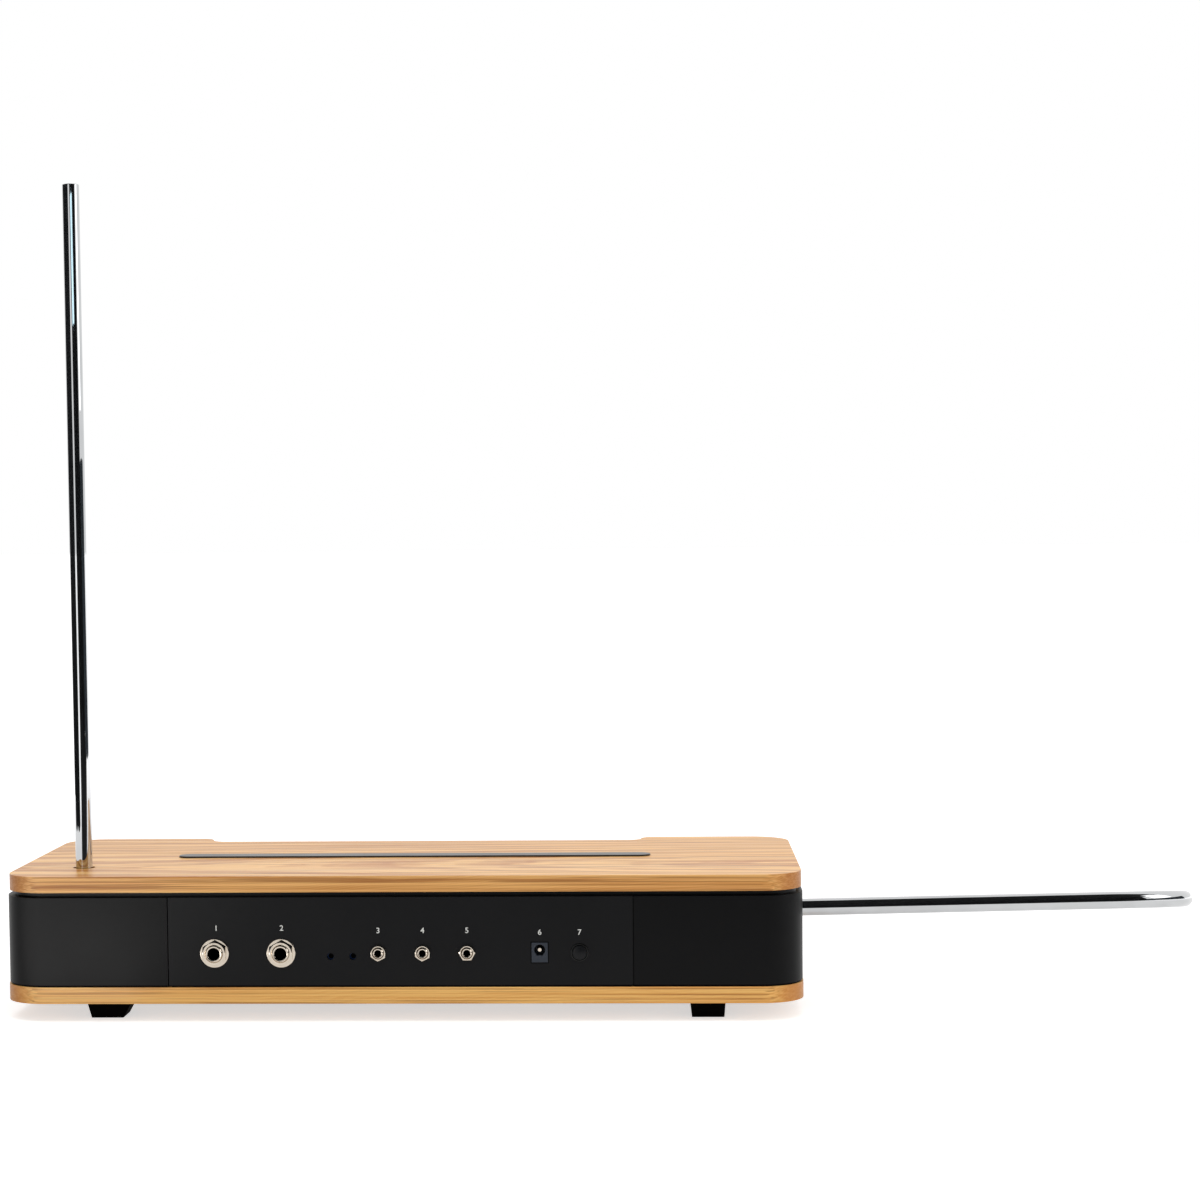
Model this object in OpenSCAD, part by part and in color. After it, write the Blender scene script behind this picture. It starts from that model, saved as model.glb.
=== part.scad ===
// Theremin: a low sandwich cabinet of two wooden boards round a black body,
// with an upright pitch rod, a level volume loop and a rear connector panel.
// +Z is up, +X points to the pitch rod's end and +Y to the connector panel.
// The origin is the mouth of the stand thread in the middle of the underside.

/* [Cabinet] */
// Width of the cabinet, from end to end
cab_w = 446; // [420:0.2:500]
// Depth of the cabinet, from the lobes' front to the rear face
cab_d = 187.2; // [176:0.2:210]
// Corner radius of the cabinet in plan
corner_r = 23.5; // [21:0.5:28]
// Thickness of the bottom board
bottom_t = 9.2; // [8:0.1:14]
// Height of the black body
shell_h = 50.1; // [48:0.1:64]
// Height of the shadow gap, filled by the deck plate
gap_h = 2.7; // [2:0.1:5]
// Thickness of the top board
top_t = 9; // [8.8:0.1:14]
// How far the top board's edge lies inside the black body
top_inset = 0.7; // [0.2:0.1:1.5]
// How far the bottom board's edge stands out of the black body
bottom_out = 0.4; // [0.1:0.1:1.5]
// How far the deck plate's edge lies inside the black body
gap_inset = 3.5; // [2:0.1:3.6]
// Width of the front recess, between the middles of its two curves
recess_w = 264; // [256:1:274]
// Depth of the front recess
recess_d = 16.6; // [15.5:0.1:18]

/* [Black body] */
// Wall of the two end shells
wall = 4; // [3:0.1:5]
// Width of the rear panel
panel_w = 257.6; // [254:0.2:264]
// Thickness of the rear and front panels
panel_t = 2.5; // [1.5:0.1:3]
// Gap at each seam between a panel and an end shell
seam = 0.5; // [0.2:0.1:1]
// Distance from the front panel's edge to the start of the recess curve
front_margin = 2.5; // [1:0.5:5]
// Width of the ledge that each panel lies on
ledge_w = 12; // [10:0.5:13]
// Thickness of the ledges
ledge_t = 3; // [2:0.5:4]
// Outer radius of the bosses for the case screws
boss_r = 6; // [5:0.5:7]

/* [Top inlay] */
// Length of the dark inlay in the top board
inlay_l = 277; // [240:1:300]
// Width of the inlay
inlay_w = 13; // [10:0.5:20]
// Distance from the rear face to the middle of the inlay
inlay_setback = 92; // [84:0.5:104]
// How far the inlay stands out of the top board
inlay_rise = 1; // [0.4:0.1:2]
// Width of the flange under the inlay
inlay_flange = 4; // [2:0.5:6]
// Thickness of the inlay's flange
inlay_flange_t = 1.6; // [1:0.1:2.4]

/* [Antennas] */
// Outer diameter of the antenna tube
rod_d = 9.525; // [8:0.025:10]
// Wall of the antenna tube
rod_wall = 0.9; // [0.6:0.1:1.5]
// Thickness of the antennas' closed ends
rod_cap = 3; // [2:0.5:6]
// Chamfer of the antenna ends
rod_chamfer = 0.5; // [0.2:0.1:0.8]
// Height of the pitch antenna above the top board
pitch_h = 386.6; // [300:0.2:480]
// Distance from the cabinet's end to the pitch antenna's axis
pitch_end = 38.3; // [34:0.1:42]
// Distance from the rear face to the axes of both antennas
rod_setback = 44; // [42:0.5:54]
// Diameter of the hole in the top board
pitch_hole_d = 12.5; // [11.5:0.1:14]
// Reach of the volume loop beyond the cabinet's end
loop_reach = 227.7; // [180:0.1:280]
// Radius of the loop's bend, to the tube's axis
loop_r = 50; // [40:1:60]
// Height of the loop's mounting leg above the underside
loop_z = 46.8; // [44:0.1:48]
// Tilt of the loop, with its front leg lower
loop_tilt = 7.8; // [0:0.1:12]
// Rise of the loop, away from the cabinet
loop_rise = 1.1; // [0:0.1:1.2]
// Gap between the loop's free end and the cabinet
loop_gap = 8; // [4:1:40]
// Diameter of the hole in the end shell
loop_hole_d = 10.6; // [10.4:0.1:12]

/* [Antenna sockets] */
// Depth of the antennas in their sockets
socket_depth = 46; // [40:0.5:46.5]
// Outer diameter of the pitch socket
socket_d = 16; // [14:0.5:17]
// Diameter of the pitch socket's flange
socket_flange_d = 36; // [34:0.5:38]
// Thickness of the socket's floor and flange
socket_floor = 4; // [3:0.5:5]
// Outer diameter of the volume socket
cradle_d = 19; // [18.5:0.5:20]
// Outer diameter of the turning sleeve in the volume socket
sleeve_d = 13; // [12:0.5:14]
// Radial running clearance of the moving parts
run = 0.05; // [0.02:0.01:0.09]
// Clearance of fixed parts in their seats
slack = 0.1; // [0.05:0.01:0.2]
// Thickness of the socket's bracket
bracket_t = 3; // [2:0.5:4]

/* [Rear connectors] */
// Height of the connectors above the underside
conn_z = 28.3; // [27.8:0.1:31]
// Position of the audio jack from the middle
audio_x = 103; // [102:0.5:105]
// Distance between the audio and mute jacks
jack_step = 37.1; // [35:0.1:39]
// Bore of the two large jacks
jack_bore = 6.6; // [6.4:0.1:7]
// Thread diameter of the large jacks
jack_d = 9.4; // [9:0.1:10]
// Diameter of the large jacks' washers
washer_d = 16; // [14.5:0.1:18]
// Thickness of the large jacks' washers
washer_t = 0.8; // [0.5:0.1:1.2]
// Width of the large jacks' nuts across flats
jack_nut_af = 12.7; // [12:0.1:13]
// Thickness of the large jacks' nuts
jack_nut_t = 2.2; // [1.5:0.1:3]
// How far a bushing stands out of its nut
proud = 1; // [0.4:0.1:2]
// Length of the large jacks' bore
jack_depth = 30; // [24:0.5:32]
// Position of the first small jack from the middle
cv_x = 11.9; // [11:0.1:13]
// Distance between the small jacks
cv_step = 24.6; // [22:0.1:26]
// Bore of the small jacks
cv_bore = 3.6; // [3.55:0.05:3.8]
// Thread diameter of the small jacks
cv_d = 6; // [5.6:0.1:6.4]
// Width of the small jacks' nuts across flats
cv_nut_af = 8; // [7.5:0.1:9]
// Thickness of the small jacks' nuts
cv_nut_t = 2; // [1.5:0.1:2.5]
// Length of the small jacks' bore
cv_depth = 14; // [12:0.5:15]
// Position of the power inlet from the middle
dc_x = -77.4; // [-78:0.1:-75]
// Width of the power inlet's face
dc_w = 9; // [8.5:0.1:10]
// Height of the power inlet's face
dc_h = 11; // [10.5:0.1:12]
// Diameter of the power inlet's hole
dc_hole = 6; // [5.5:0.1:6.4]
// Diameter of the power inlet's pin
dc_pin_d = 2; // [1.6:0.1:2.5]
// Depth of the power inlet's hole
dc_depth = 9.5; // [8:0.5:11]

/* [Power button and trimmers] */
// Position of the power button from the middle
power_x = -99.4; // [-101:0.1:-97]
// Diameter of the power button
button_d = 8; // [7:0.1:9]
// Diameter of the bezel round the button
bezel_d = 10; // [9.8:0.1:11.5]
// Travel of the power button
button_travel = 2; // [1:0.1:2.5]
// How far the button stands out of the rear face
button_proud = 2.4; // [2:0.1:3.5]
// Height of the trimmers above the underside
trim_z = 26.3; // [25.8:0.1:28]
// Position of the first trimmer from the middle
trim_x = 38.5; // [37:0.1:40]
// Distance between the trimmers
trim_step = 12.4; // [11:0.1:14]
// Diameter of the trimmer holes in the panel
trim_hole_d = 3.9; // [3.6:0.1:5]
// Diameter of a trimmer's turning screw
trim_rotor_d = 3; // [2.4:0.1:3.4]

/* [Knobs] */
// Diameter of the knobs
knob_d = 24; // [20:0.5:28]
// Height of the knobs
knob_h = 14; // [12.5:0.1:14.8]
// Distance between the knobs
knob_step = 56; // [44:1:60]
// Diameter of the skirt at a knob's foot
knob_skirt_d = 28; // [25:0.5:32]
// Running gap between a knob and the front panel
knob_gap = 0.8; // [0.5:0.1:1.2]
// Diameter of the potentiometer shafts
shaft_d = 6; // [5:0.1:6.35]
// Diameter of the potentiometer bushings
bushing_d = 8; // [7.8:0.1:8.5]
// Length of the potentiometer bushings in front of the panel
bushing_l = 4; // [3.4:0.1:4.5]
// Width of the potentiometer nuts across flats
pot_nut_af = 11; // [10.5:0.1:12]
// Thickness of the potentiometer nuts
pot_nut_t = 2; // [1.5:0.1:2.8]
// Side of the square potentiometer bodies
pot_w = 16; // [14:0.5:20]
// Depth of the potentiometer bodies
pot_t = 7; // [5:0.5:9]

/* [Circuit boards] */
// Height of the standoffs under the main board
standoff_h = 10; // [8.5:0.1:10.5]
// Thickness of the circuit boards
pcb_t = 1.6; // [1:0.1:2]
// Width of the main board
pcb_w = 248; // [244:1:252]
// Depth of the main board
pcb_d = 98; // [92:1:104]
// Height of the standoffs under the coil boards
coil_standoff_h = 6; // [4:0.5:8]
// Outer diameter of the coils
coil_d = 13; // [10:0.5:14]
// Height of the coils
coil_h = 20; // [14:0.5:24]
// Distance between neighbouring coils
coil_step = 17; // [16:0.5:18]
// Diameter of the insulated wires
wire_d = 1.8; // [1.2:0.1:2.4]

/* [Feet and stand bush] */
// Height of the feet
foot_h = 9.9; // [7:0.1:14]
// Side of the square sole of a foot
foot_sole = 18; // [16:0.5:20]
// Half the distance between the left and the right feet
foot_x = 168.1; // [162:0.1:174]
// How far all the feet sit towards the volume loop's end
foot_shift = 2; // [0:0.1:4]
// Distance from the rear and front faces to the middle of a foot
foot_inset = 21; // [19:0.5:26]
// Diameter of the stand thread, at its crests
thread_d = 14.9; // [12:0.1:16]
// Depth of the stand thread
thread_depth = 14.5; // [12:0.5:15]
// Diameter of the stand bush
bush_d = 22; // [20:0.5:26]
// Diameter of the stand bush's flange
bush_flange_d = 48; // [44:0.5:54]
// Thickness of the stand bush's flange
bush_flange_t = 3; // [2:0.5:4]

/* [Screws] */
// Diameter of the long case screws
case_screw_d = 4; // [3:0.5:4.5]
// Depth of the thread inserts in the top board
insert_depth = 6.5; // [5:0.5:7]
// Outer diameter of the thread inserts
insert_d = 6; // [5.6:0.1:7]
// Diameter of the small screws
small_screw_d = 3; // [2.5:0.1:3.4]
// Head diameter of the small screws
small_head_d = 5.6; // [5:0.1:6.2]
// Head height of the small screws
small_head_h = 1.8; // [1.2:0.1:2.4]
// Width of the standoffs and panel nuts across flats
small_nut_af = 5.5; // [5.2:0.1:6.5]
// Thickness of the panel nuts
small_nut_t = 2.4; // [1.8:0.1:3]

/* [Hidden] */
$fn = 64;

// A cut runs this far past the faces that it opens
over = 1;
half_w = cab_w / 2;
half_d = cab_d / 2;
z_shell = bottom_t;
z_deck = z_shell + shell_h;
z_top = z_deck + gap_h;
z_lid = z_top + top_t;

// The front recess: its curves are two quarter arcs of this radius
recess_r = recess_d / 2;
recess_x = recess_w / 2;
recess_y = -half_d + recess_d;
front_panel_w = recess_w - 2 * recess_r - 2 * front_margin;

// Inner faces of the two panels
rear_in = half_d - panel_t;
front_in = recess_y + panel_t;

// Case screws: one in each corner and one beside each seam
boss_bite = 1;
seam_boss_gap = 4;
lobe_boss_bite = 4;
corner_in = corner_r - (corner_r - wall - boss_r + boss_bite) / sqrt(2);
boss_y = half_d - wall - boss_r + boss_bite;
seam_boss_x = panel_w / 2 + boss_r + seam_boss_gap;
lobe_boss_x = recess_x + 2 * recess_r + boss_r - lobe_boss_bite;
case_points = [
  for (side = [-1, 1]) each [
    [side * (half_w - corner_in), half_d - corner_in],
    [side * (half_w - corner_in), corner_in - half_d],
    [side * seam_boss_x, boss_y],
    [side * lobe_boss_x, -boss_y]
  ]
];
case_head_d = 2 * case_screw_d;
case_head_h = case_screw_d / 2;
head_sink = 0.3;
insert_floor = 0.5;
// Screws into the bottom board: the depth of their holes, and of their shanks in it
pilot_depth = 6;
screw_bite = 5.5;

// Studs on the panels, with a nut behind each ledge; the lower ones clear the main board
stud_inset = ledge_w / 2;
stud_clear = 1.2;
stud_drop = 10;
stud_z = [bottom_t + standoff_h + pcb_t + small_nut_af / sqrt(3) + stud_clear, z_deck - stud_drop];
rear_stud_x = panel_w / 2 - stud_inset;
front_stud_x = front_panel_w / 2 - stud_inset;
stud_l = ledge_t + small_nut_t + 1;

// Boards
pcb_z = bottom_t + standoff_h;
pcb_top = pcb_z + pcb_t;
pcb_gap = 1;
pcb_rear = rear_in - ledge_t - pcb_gap;
pcb_front = pcb_rear - pcb_d;
post_inset = 6.5;
post_points = [
  for (side = [-1, 1]) each [
    [side * (pcb_w / 2 - post_inset), pcb_rear - post_inset],
    [side * (pcb_w / 2 - post_inset), pcb_front + post_inset]
  ]
];
post_stud = 5;
coil_end_gap = 38;
coil_margin = 4;
coil_post_inset = 3.5;
coil_pcb_w = 30;
coil_pcb_d = 4 * coil_step + coil_margin;
coil_x = half_w - wall - coil_end_gap - coil_pcb_w / 2;
coil_y = -7;
coil_z = bottom_t + coil_standoff_h;
coil_top = coil_z + pcb_t;
coil_post_x = coil_pcb_w / 2 - coil_post_inset;
coil_post_y = coil_pcb_d / 2 - coil_post_inset;
coil_post_points = [
  for (side = [-1, 1], u = [-1, 1], v = [-1, 1]) [side * coil_x + u * coil_post_x, coil_y + v * coil_post_y]
];
coil_flange_t = 1.2;
coil_flange_d = coil_d + 2.5;
lead_inset = 4;

// Knobs, potentiometers and their board
knob_z = z_shell + shell_h / 2;
knob_xs = [1.5 * knob_step, 0.5 * knob_step, -0.5 * knob_step, -1.5 * knob_step];
knob_back = recess_y - knob_gap;
knob_front = knob_back - knob_h;
knob_roof = 2.5;
hollow_gap = 1;
shaft_cover = 2;
shaft_play = 0.5;
control_margin = 6;
knob_hollow = bushing_l + hollow_gap - knob_gap;
knob_hollow_d = pot_nut_af / cos(30) + 2 * hollow_gap;
shaft_tip = knob_front + knob_roof;
pot_back = front_in + pot_t;
shaft_root = pot_back - shaft_cover;
control_w = knob_step * 3 + pot_w + 2 * control_margin;
control_h = 30;
control_z = knob_z - control_h / 2;
control_back = pot_back + pcb_t;
ribbon_x = 60;
ribbon_w = 20;
ribbon_t = 1;
ribbon_z = control_z + 5;
plug_w = ribbon_w + 4;
plug_l = 6;
plug_h = 6;
ribbon_end = pcb_front + 8;
flute_n = 24;
flute_d = 1.6;
skirt_t = 2.5;
pointer_w = 1.4;
pointer_t = 0.4;

// Connectors
jack_w = 16;
jack_wall = 2.5;
jack_roof = 9;
jack_top = conn_z + jack_roof;
jack_mouth = half_d + washer_t + jack_nut_t + proud;
jack_end = jack_mouth - jack_depth - jack_wall;
mute_x = audio_x - jack_step;
cv_w = 9;
cv_roof = 5;
cv_top = conn_z + cv_roof;
cv_mouth = half_d + cv_nut_t + proud;
cv_end = cv_mouth - cv_depth - jack_wall;
cv_xs = [cv_x, cv_x - cv_step, cv_x - 2 * cv_step];
cv_nut_turns = [-4, -5, 30];
dc_proud = 0.3;
dc_face = half_d + dc_proud;
dc_rim = 1.1;
dc_hole_z = conn_z + dc_h / 2 - dc_hole / 2 - dc_rim;
dc_back = 5;
dc_pin_root = 3;
dc_pin_sink = 1;
power_z = conn_z;
switch_w = 10;
switch_l = 12;
switch_gap = 3;
switch_front = rear_in - button_travel - switch_gap;
switch_bore = 8;
plunger_d = 4;
plunger_l = 4;
cap_clear = 0.5;
bezel_t = 0.6;
bezel_wall = 0.5;
button_gap = 0.15;
button_root = switch_front + button_travel + cap_clear;
button_dome = 12;
trim_w = 7;
trim_l = 8;
trim_gap = 0.7;
trim_face = rear_in - trim_gap;
trim_sink = 3;
trim_play = 0.3;
trim_slot_w = 0.6;
trim_slot_t = 0.8;
trim_xs = [trim_x, trim_x - trim_step];

// Antennas and sockets
rod_r = rod_d / 2;
rod_bore_r = rod_r - rod_wall;
pitch_x = half_w - pitch_end;
rod_y = half_d - rod_setback;
seat_z = bottom_t + socket_floor;
socket_gap = 0.3;
socket_top = z_top - socket_gap;
socket_screw_r = (socket_flange_d + socket_d) / 4;
// Along the loop's mounting leg, lengths count from the outer face inwards
cradle_mouth = wall + socket_gap;
sleeve_gap = 0.3;
sleeve_floor = 3;
sleeve_mouth = cradle_mouth + sleeve_gap;
sleeve_end = socket_depth + sleeve_floor;
cradle_floor = 3;
cradle_end = sleeve_end + sleeve_gap + cradle_floor;
bracket_side = 6;
bracket_grip = 8;
bracket_screw_inset = 5;
bracket_w = cradle_d + 2 * bracket_side;
bracket_x = half_w - cradle_end + bracket_grip;
bracket_foot = 16;
lug_w = 6;
lug_t = 1.6;
lug_l = 6;
lug_rise = 26;
lug_z = seat_z + lug_rise;
volume_lug_x = 24;
wire_bend = 3;
wire_sides = 8;
loop_bend_x = loop_reach - rod_r - loop_r;

// Feet: how far the four sides slope out from sole to top
foot_out = 2.6;
foot_in = 5.4;
foot_side_out = 0.7;
foot_side_in = 1.1;
foot_well_d = 7.6;
foot_well = foot_h / 2;
foot_y = half_d - foot_inset;
foot_screw_floor = 2;
foot_screw_l = foot_h - foot_well + bottom_t - foot_screw_floor;
bush_screw_r = (bush_flange_d + bush_d) / 4;
bush_cap = 1.5;

wood = "burlywood";
black = [0.1, 0.1, 0.1];
steel = "silver";
brass = "goldenrod";
pcb_green = "darkgreen";

// ---- Shapes that repeat ----

// Plan of the cabinet, with its edge moved in
module plan(inset) {
  r = corner_r - inset;
  difference() {
    union() {
      square([cab_w - 2 * corner_r, cab_d - 2 * inset], center = true);
      square([cab_w - 2 * inset, cab_d - 2 * corner_r], center = true);
      for (x = [-1, 1], y = [-1, 1])
        translate([x * (half_w - corner_r), y * (half_d - corner_r)]) circle(r);
    }
    recess(inset);
  }
}

// The front recess: two quarter arcs at each end, one hollow and one round
module recess(inset) {
  mid_y = -half_d + recess_r;
  low = -half_d - over;
  translate([-recess_x + recess_r, low]) square([recess_w - 2 * recess_r, recess_y + inset - low]);
  translate([-recess_x - inset, low]) square([recess_w + 2 * inset, mid_y - low]);
  for (side = [-1, 1]) {
    translate([side * (recess_x - recess_r), mid_y]) circle(recess_r + inset);
    difference() {
      translate([side * (recess_x + recess_r / 2), (mid_y + low) / 2])
        square([recess_r, mid_y - low], center = true);
      translate([side * (recess_x + recess_r), mid_y]) circle(recess_r - inset);
    }
  }
}

// A round bar along +Y, from one Y to another
module bar_y(x, z, y0, y1, d) {
  translate([x, y1, z]) rotate([90, 0, 0]) cylinder(h = y1 - y0, d = d);
}

// A round bar along +X
module bar_x(x0, x1, y, z, d) {
  translate([x0, y, z]) rotate([0, 90, 0]) cylinder(h = x1 - x0, d = d);
}

// A hexagonal bar along +Y, given across flats, with a corner on top unless it's turned
module hex_y(x, z, y0, y1, af, turn = 0) {
  translate([x, y1, z]) rotate([90, 30 + turn, 0]) cylinder(h = y1 - y0, d = af / cos(30), $fn = 6);
}

// A block, given by its middle in X, its Y and Z ranges and its width
module block(x, w, y0, y1, z0, z1) {
  translate([x - w / 2, y0, z0]) cube([w, y1 - y0, z1 - z0]);
}

// A flat bar with round ends, lying in XY
module obround(l, w, h) {
  linear_extrude(h) {
    square([l - w, w], center = true);
    for (side = [-1, 1])
      translate([side * (l - w) / 2, 0]) circle(d = w);
  }
}

// A pan-head screw that stands on z with its shank below
module pan_screw(p, z, l) {
  translate([p[0], p[1], z]) cylinder(h = small_head_h, d = small_head_d);
  translate([p[0], p[1], z - l]) cylinder(h = l + small_head_h / 2, d = small_screw_d);
}

// A hexagonal standoff with a stud below
module standoff(p, h) {
  translate([p[0], p[1], bottom_t]) difference() {
    union() {
      cylinder(h = h, d = small_nut_af / cos(30), $fn = 6);
      translate([0, 0, -post_stud]) cylinder(h = post_stud + over, d = small_screw_d);
    }
    translate([0, 0, h - post_stud]) cylinder(h = post_stud + over, d = small_screw_d + 2 * slack);
  }
}

// Points of a route, with each inner corner rounded by a quadratic curve
function corner(a, b, c) = [
  for (t = [0:0.25:1])
    let (
      from = b + wire_bend * (a - b) / norm(a - b),
      to = b + wire_bend * (c - b) / norm(c - b)
    )
    (1 - t) * (1 - t) * from + 2 * t * (1 - t) * b + t * t * to
];
function route(p) = [p[0], for (i = [1:len(p) - 2]) each corner(p[i - 1], p[i], p[i + 1]), p[len(p) - 1]];

// A wire along a list of points; side is a direction that no stretch of it takes
module wire(points, side) {
  path = route(points);
  n = len(path);
  rings = [
    for (i = [0:n - 1])
      let (
        along = path[min(i + 1, n - 1)] - path[max(i - 1, 0)],
        t = along / norm(along),
        u = cross(t, side) / norm(cross(t, side)),
        v = cross(t, u)
      )
      for (k = [0:wire_sides - 1])
        path[i] + wire_d / 2 * (cos(k * 360 / wire_sides) * u + sin(k * 360 / wire_sides) * v)
  ];
  walls = [
    for (i = [0:n - 2], k = [0:wire_sides - 1])
      let (
        a = i * wire_sides + k,
        b = i * wire_sides + (k + 1) % wire_sides
      )
      each [[a, a + wire_sides, b + wire_sides], [a, b + wire_sides, b]]
  ];
  start = [for (k = [0:wire_sides - 1]) k];
  end = [for (k = [wire_sides - 1:-1:0]) (n - 1) * wire_sides + k];
  polyhedron(rings, concat(walls, [start, end]));
}

// ---- Boards and deck ----

module top_board() {
  slot_gap = slack;
  color(wood) difference() {
    translate([0, 0, z_top]) linear_extrude(top_t) plan(top_inset);
    translate([0, half_d - inlay_setback, z_top - over])
      obround(inlay_l + 2 * slot_gap, inlay_w + 2 * slot_gap, top_t + 2 * over);
    translate([0, half_d - inlay_setback, z_top - over])
      obround(
        inlay_l + 2 * inlay_flange + 2 * slot_gap,
        inlay_w + 2 * inlay_flange + 2 * slot_gap,
        inlay_flange_t + slot_gap + over
      );
    translate([pitch_x, rod_y, z_top - over]) cylinder(h = top_t + 2 * over, d = pitch_hole_d);
    for (p = case_points)
      translate([p[0], p[1], z_top - over]) cylinder(h = insert_depth + over, d = insert_d + 2 * slack);
  }
}

module top_inlay() {
  color([0.2, 0.2, 0.2]) translate([0, half_d - inlay_setback, z_top]) {
    obround(inlay_l, inlay_w, top_t + inlay_rise);
    obround(inlay_l + 2 * inlay_flange, inlay_w + 2 * inlay_flange, inlay_flange_t);
  }
}

module deck_plate() {
  color(black) difference() {
    translate([0, 0, z_deck]) linear_extrude(gap_h) plan(gap_inset);
    translate([pitch_x, rod_y, z_deck - over]) cylinder(h = gap_h + 2 * over, d = socket_d + 4 * slack);
    for (p = case_points)
      translate([p[0], p[1], z_deck - over]) cylinder(h = gap_h + 2 * over, d = case_screw_d + 4 * slack);
  }
}

module thread_inserts() {
  color(brass) for (p = case_points)
    translate([p[0], p[1], z_top]) difference() {
      cylinder(h = insert_depth, d = insert_d);
      translate([0, 0, -over]) cylinder(h = insert_depth - insert_floor + over, d = case_screw_d + 2 * slack);
    }
}

module bottom_board() {
  color(wood) difference() {
    linear_extrude(bottom_t) plan(-bottom_out);
    translate([0, 0, -over]) cylinder(h = bottom_t + 2 * over, d = bush_d + 2 * slack);
    for (p = case_points) {
      translate([p[0], p[1], -over]) cylinder(h = bottom_t + 2 * over, d = case_screw_d + 4 * slack);
      translate([p[0], p[1], -over])
        cylinder(h = head_sink + case_head_h + slack + over, d = case_head_d + 4 * slack);
    }
    for (p = concat(post_points, coil_post_points))
      translate([p[0], p[1], bottom_t - post_stud - slack])
        cylinder(h = post_stud + slack + over, d = small_screw_d + 2 * slack);
    for (p = foot_points())
      translate([p[0], p[1], -over])
        cylinder(h = bottom_t - foot_screw_floor + over, d = small_screw_d + 2 * slack);
    for (p = concat(bush_screw_points(), socket_screw_points(), bracket_screw_points())) pilot(p);
  }
}

// A hole in the bottom board for a small screw from above
module pilot(p) {
  translate([p[0], p[1], bottom_t - pilot_depth])
    cylinder(h = pilot_depth + over, d = small_screw_d + 2 * slack);
}

// ---- Black body ----

module shell_ring() {
  linear_extrude(shell_h) difference() {
    plan(0);
    plan(wall);
  }
}

// One end shell, on the +X side: its wall, ledges and bosses
module end_shell() {
  rear_seam = panel_w / 2 + seam;
  front_seam = front_panel_w / 2 + seam;
  hold = wall + 3;
  translate([0, 0, z_shell]) difference() {
    union() {
      intersection() {
        shell_ring();
        union() {
          translate([rear_seam, 0, -over]) cube([half_w, cab_d, shell_h + 2 * over]);
          translate([front_seam, -cab_d + over, -over]) cube([half_w, cab_d, shell_h + 2 * over]);
        }
      }
      translate([panel_w / 2 - ledge_w, rear_in - ledge_t, 0]) cube([ledge_w + hold, ledge_t, shell_h]);
      translate([front_panel_w / 2 - ledge_w, front_in, 0]) cube([ledge_w + hold, ledge_t, shell_h]);
      for (p = case_points)
        if (p[0] > 0) translate([p[0], p[1], 0]) cylinder(h = shell_h, r = boss_r);
    }
    for (p = case_points)
      translate([p[0], p[1], -over]) cylinder(h = shell_h + 2 * over, d = case_screw_d + 4 * slack);
    for (z = stud_z) {
      bar_y(rear_stud_x, z - z_shell, rear_in - ledge_t - over, rear_in + over, small_screw_d + 4 * slack);
      bar_y(front_stud_x, z - z_shell, front_in - over, front_in + ledge_t + over, small_screw_d + 4 * slack);
    }
  }
}

module side_shell_pitch() {
  color(black) end_shell();
}

module side_shell_volume() {
  color(black) difference() {
    mirror([1, 0, 0]) end_shell();
    at_volume() bar_x(-over, wall + over, 0, 0, loop_hole_d);
  }
}

module rear_panel() {
  color(black) difference() {
    union() {
      block(0, panel_w, rear_in, half_d, z_shell, z_deck);
      for (side = [-1, 1], z = stud_z)
        bar_y(side * rear_stud_x, z, rear_in - stud_l, half_d, small_screw_d);
    }
    for (x = [audio_x, mute_x]) bar_y(x, conn_z, rear_in - over, half_d + over, jack_d + 2 * slack);
    for (x = cv_xs) bar_y(x, conn_z, rear_in - over, half_d + over, cv_d + 2 * slack);
    for (x = trim_xs) bar_y(x, trim_z, rear_in - over, half_d + over, trim_hole_d);
    bar_y(power_x, power_z, rear_in - over, half_d + over, bezel_in_d() + 2 * bezel_wall + 2 * slack);
    block(
      dc_x, dc_w + 2 * slack, rear_in - over, half_d + over,
      conn_z - dc_h / 2 - slack, conn_z + dc_h / 2 + slack
    );
  }
}

module front_panel() {
  color(black) difference() {
    union() {
      block(0, front_panel_w, recess_y, front_in, z_shell, z_deck);
      for (side = [-1, 1], z = stud_z)
        bar_y(side * front_stud_x, z, recess_y, front_in + stud_l, small_screw_d);
    }
    for (x = knob_xs) bar_y(x, knob_z, recess_y - over, front_in + over, bushing_d + 2 * slack);
  }
}

module panel_nuts() {
  color(steel) for (side = [-1, 1], z = stud_z) {
    difference() {
      hex_y(side * rear_stud_x, z, rear_in - ledge_t - small_nut_t, rear_in - ledge_t, small_nut_af);
      bar_y(side * rear_stud_x, z, rear_in - stud_l, rear_in, small_screw_d + 2 * run);
    }
    difference() {
      hex_y(side * front_stud_x, z, front_in + ledge_t, front_in + ledge_t + small_nut_t, small_nut_af);
      bar_y(side * front_stud_x, z, front_in, front_in + stud_l, small_screw_d + 2 * run);
    }
  }
}

module case_screws() {
  color(steel) for (p = case_points)
    translate([p[0], p[1], head_sink]) {
      difference() {
        cylinder(h = case_head_h, d = case_head_d);
        translate([0, 0, -over]) cylinder(h = case_head_h / 2 + over, d = case_screw_d * 0.6, $fn = 6);
      }
      translate([0, 0, case_head_h / 2])
        cylinder(h = z_top + insert_depth - insert_floor - 1 - head_sink - case_head_h / 2, d = case_screw_d);
    }
}

// ---- Feet and stand bush ----

function foot_points() = [for (x = [1, -1], y = [1, -1]) [x * foot_x - foot_shift, y * foot_y]];

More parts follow.
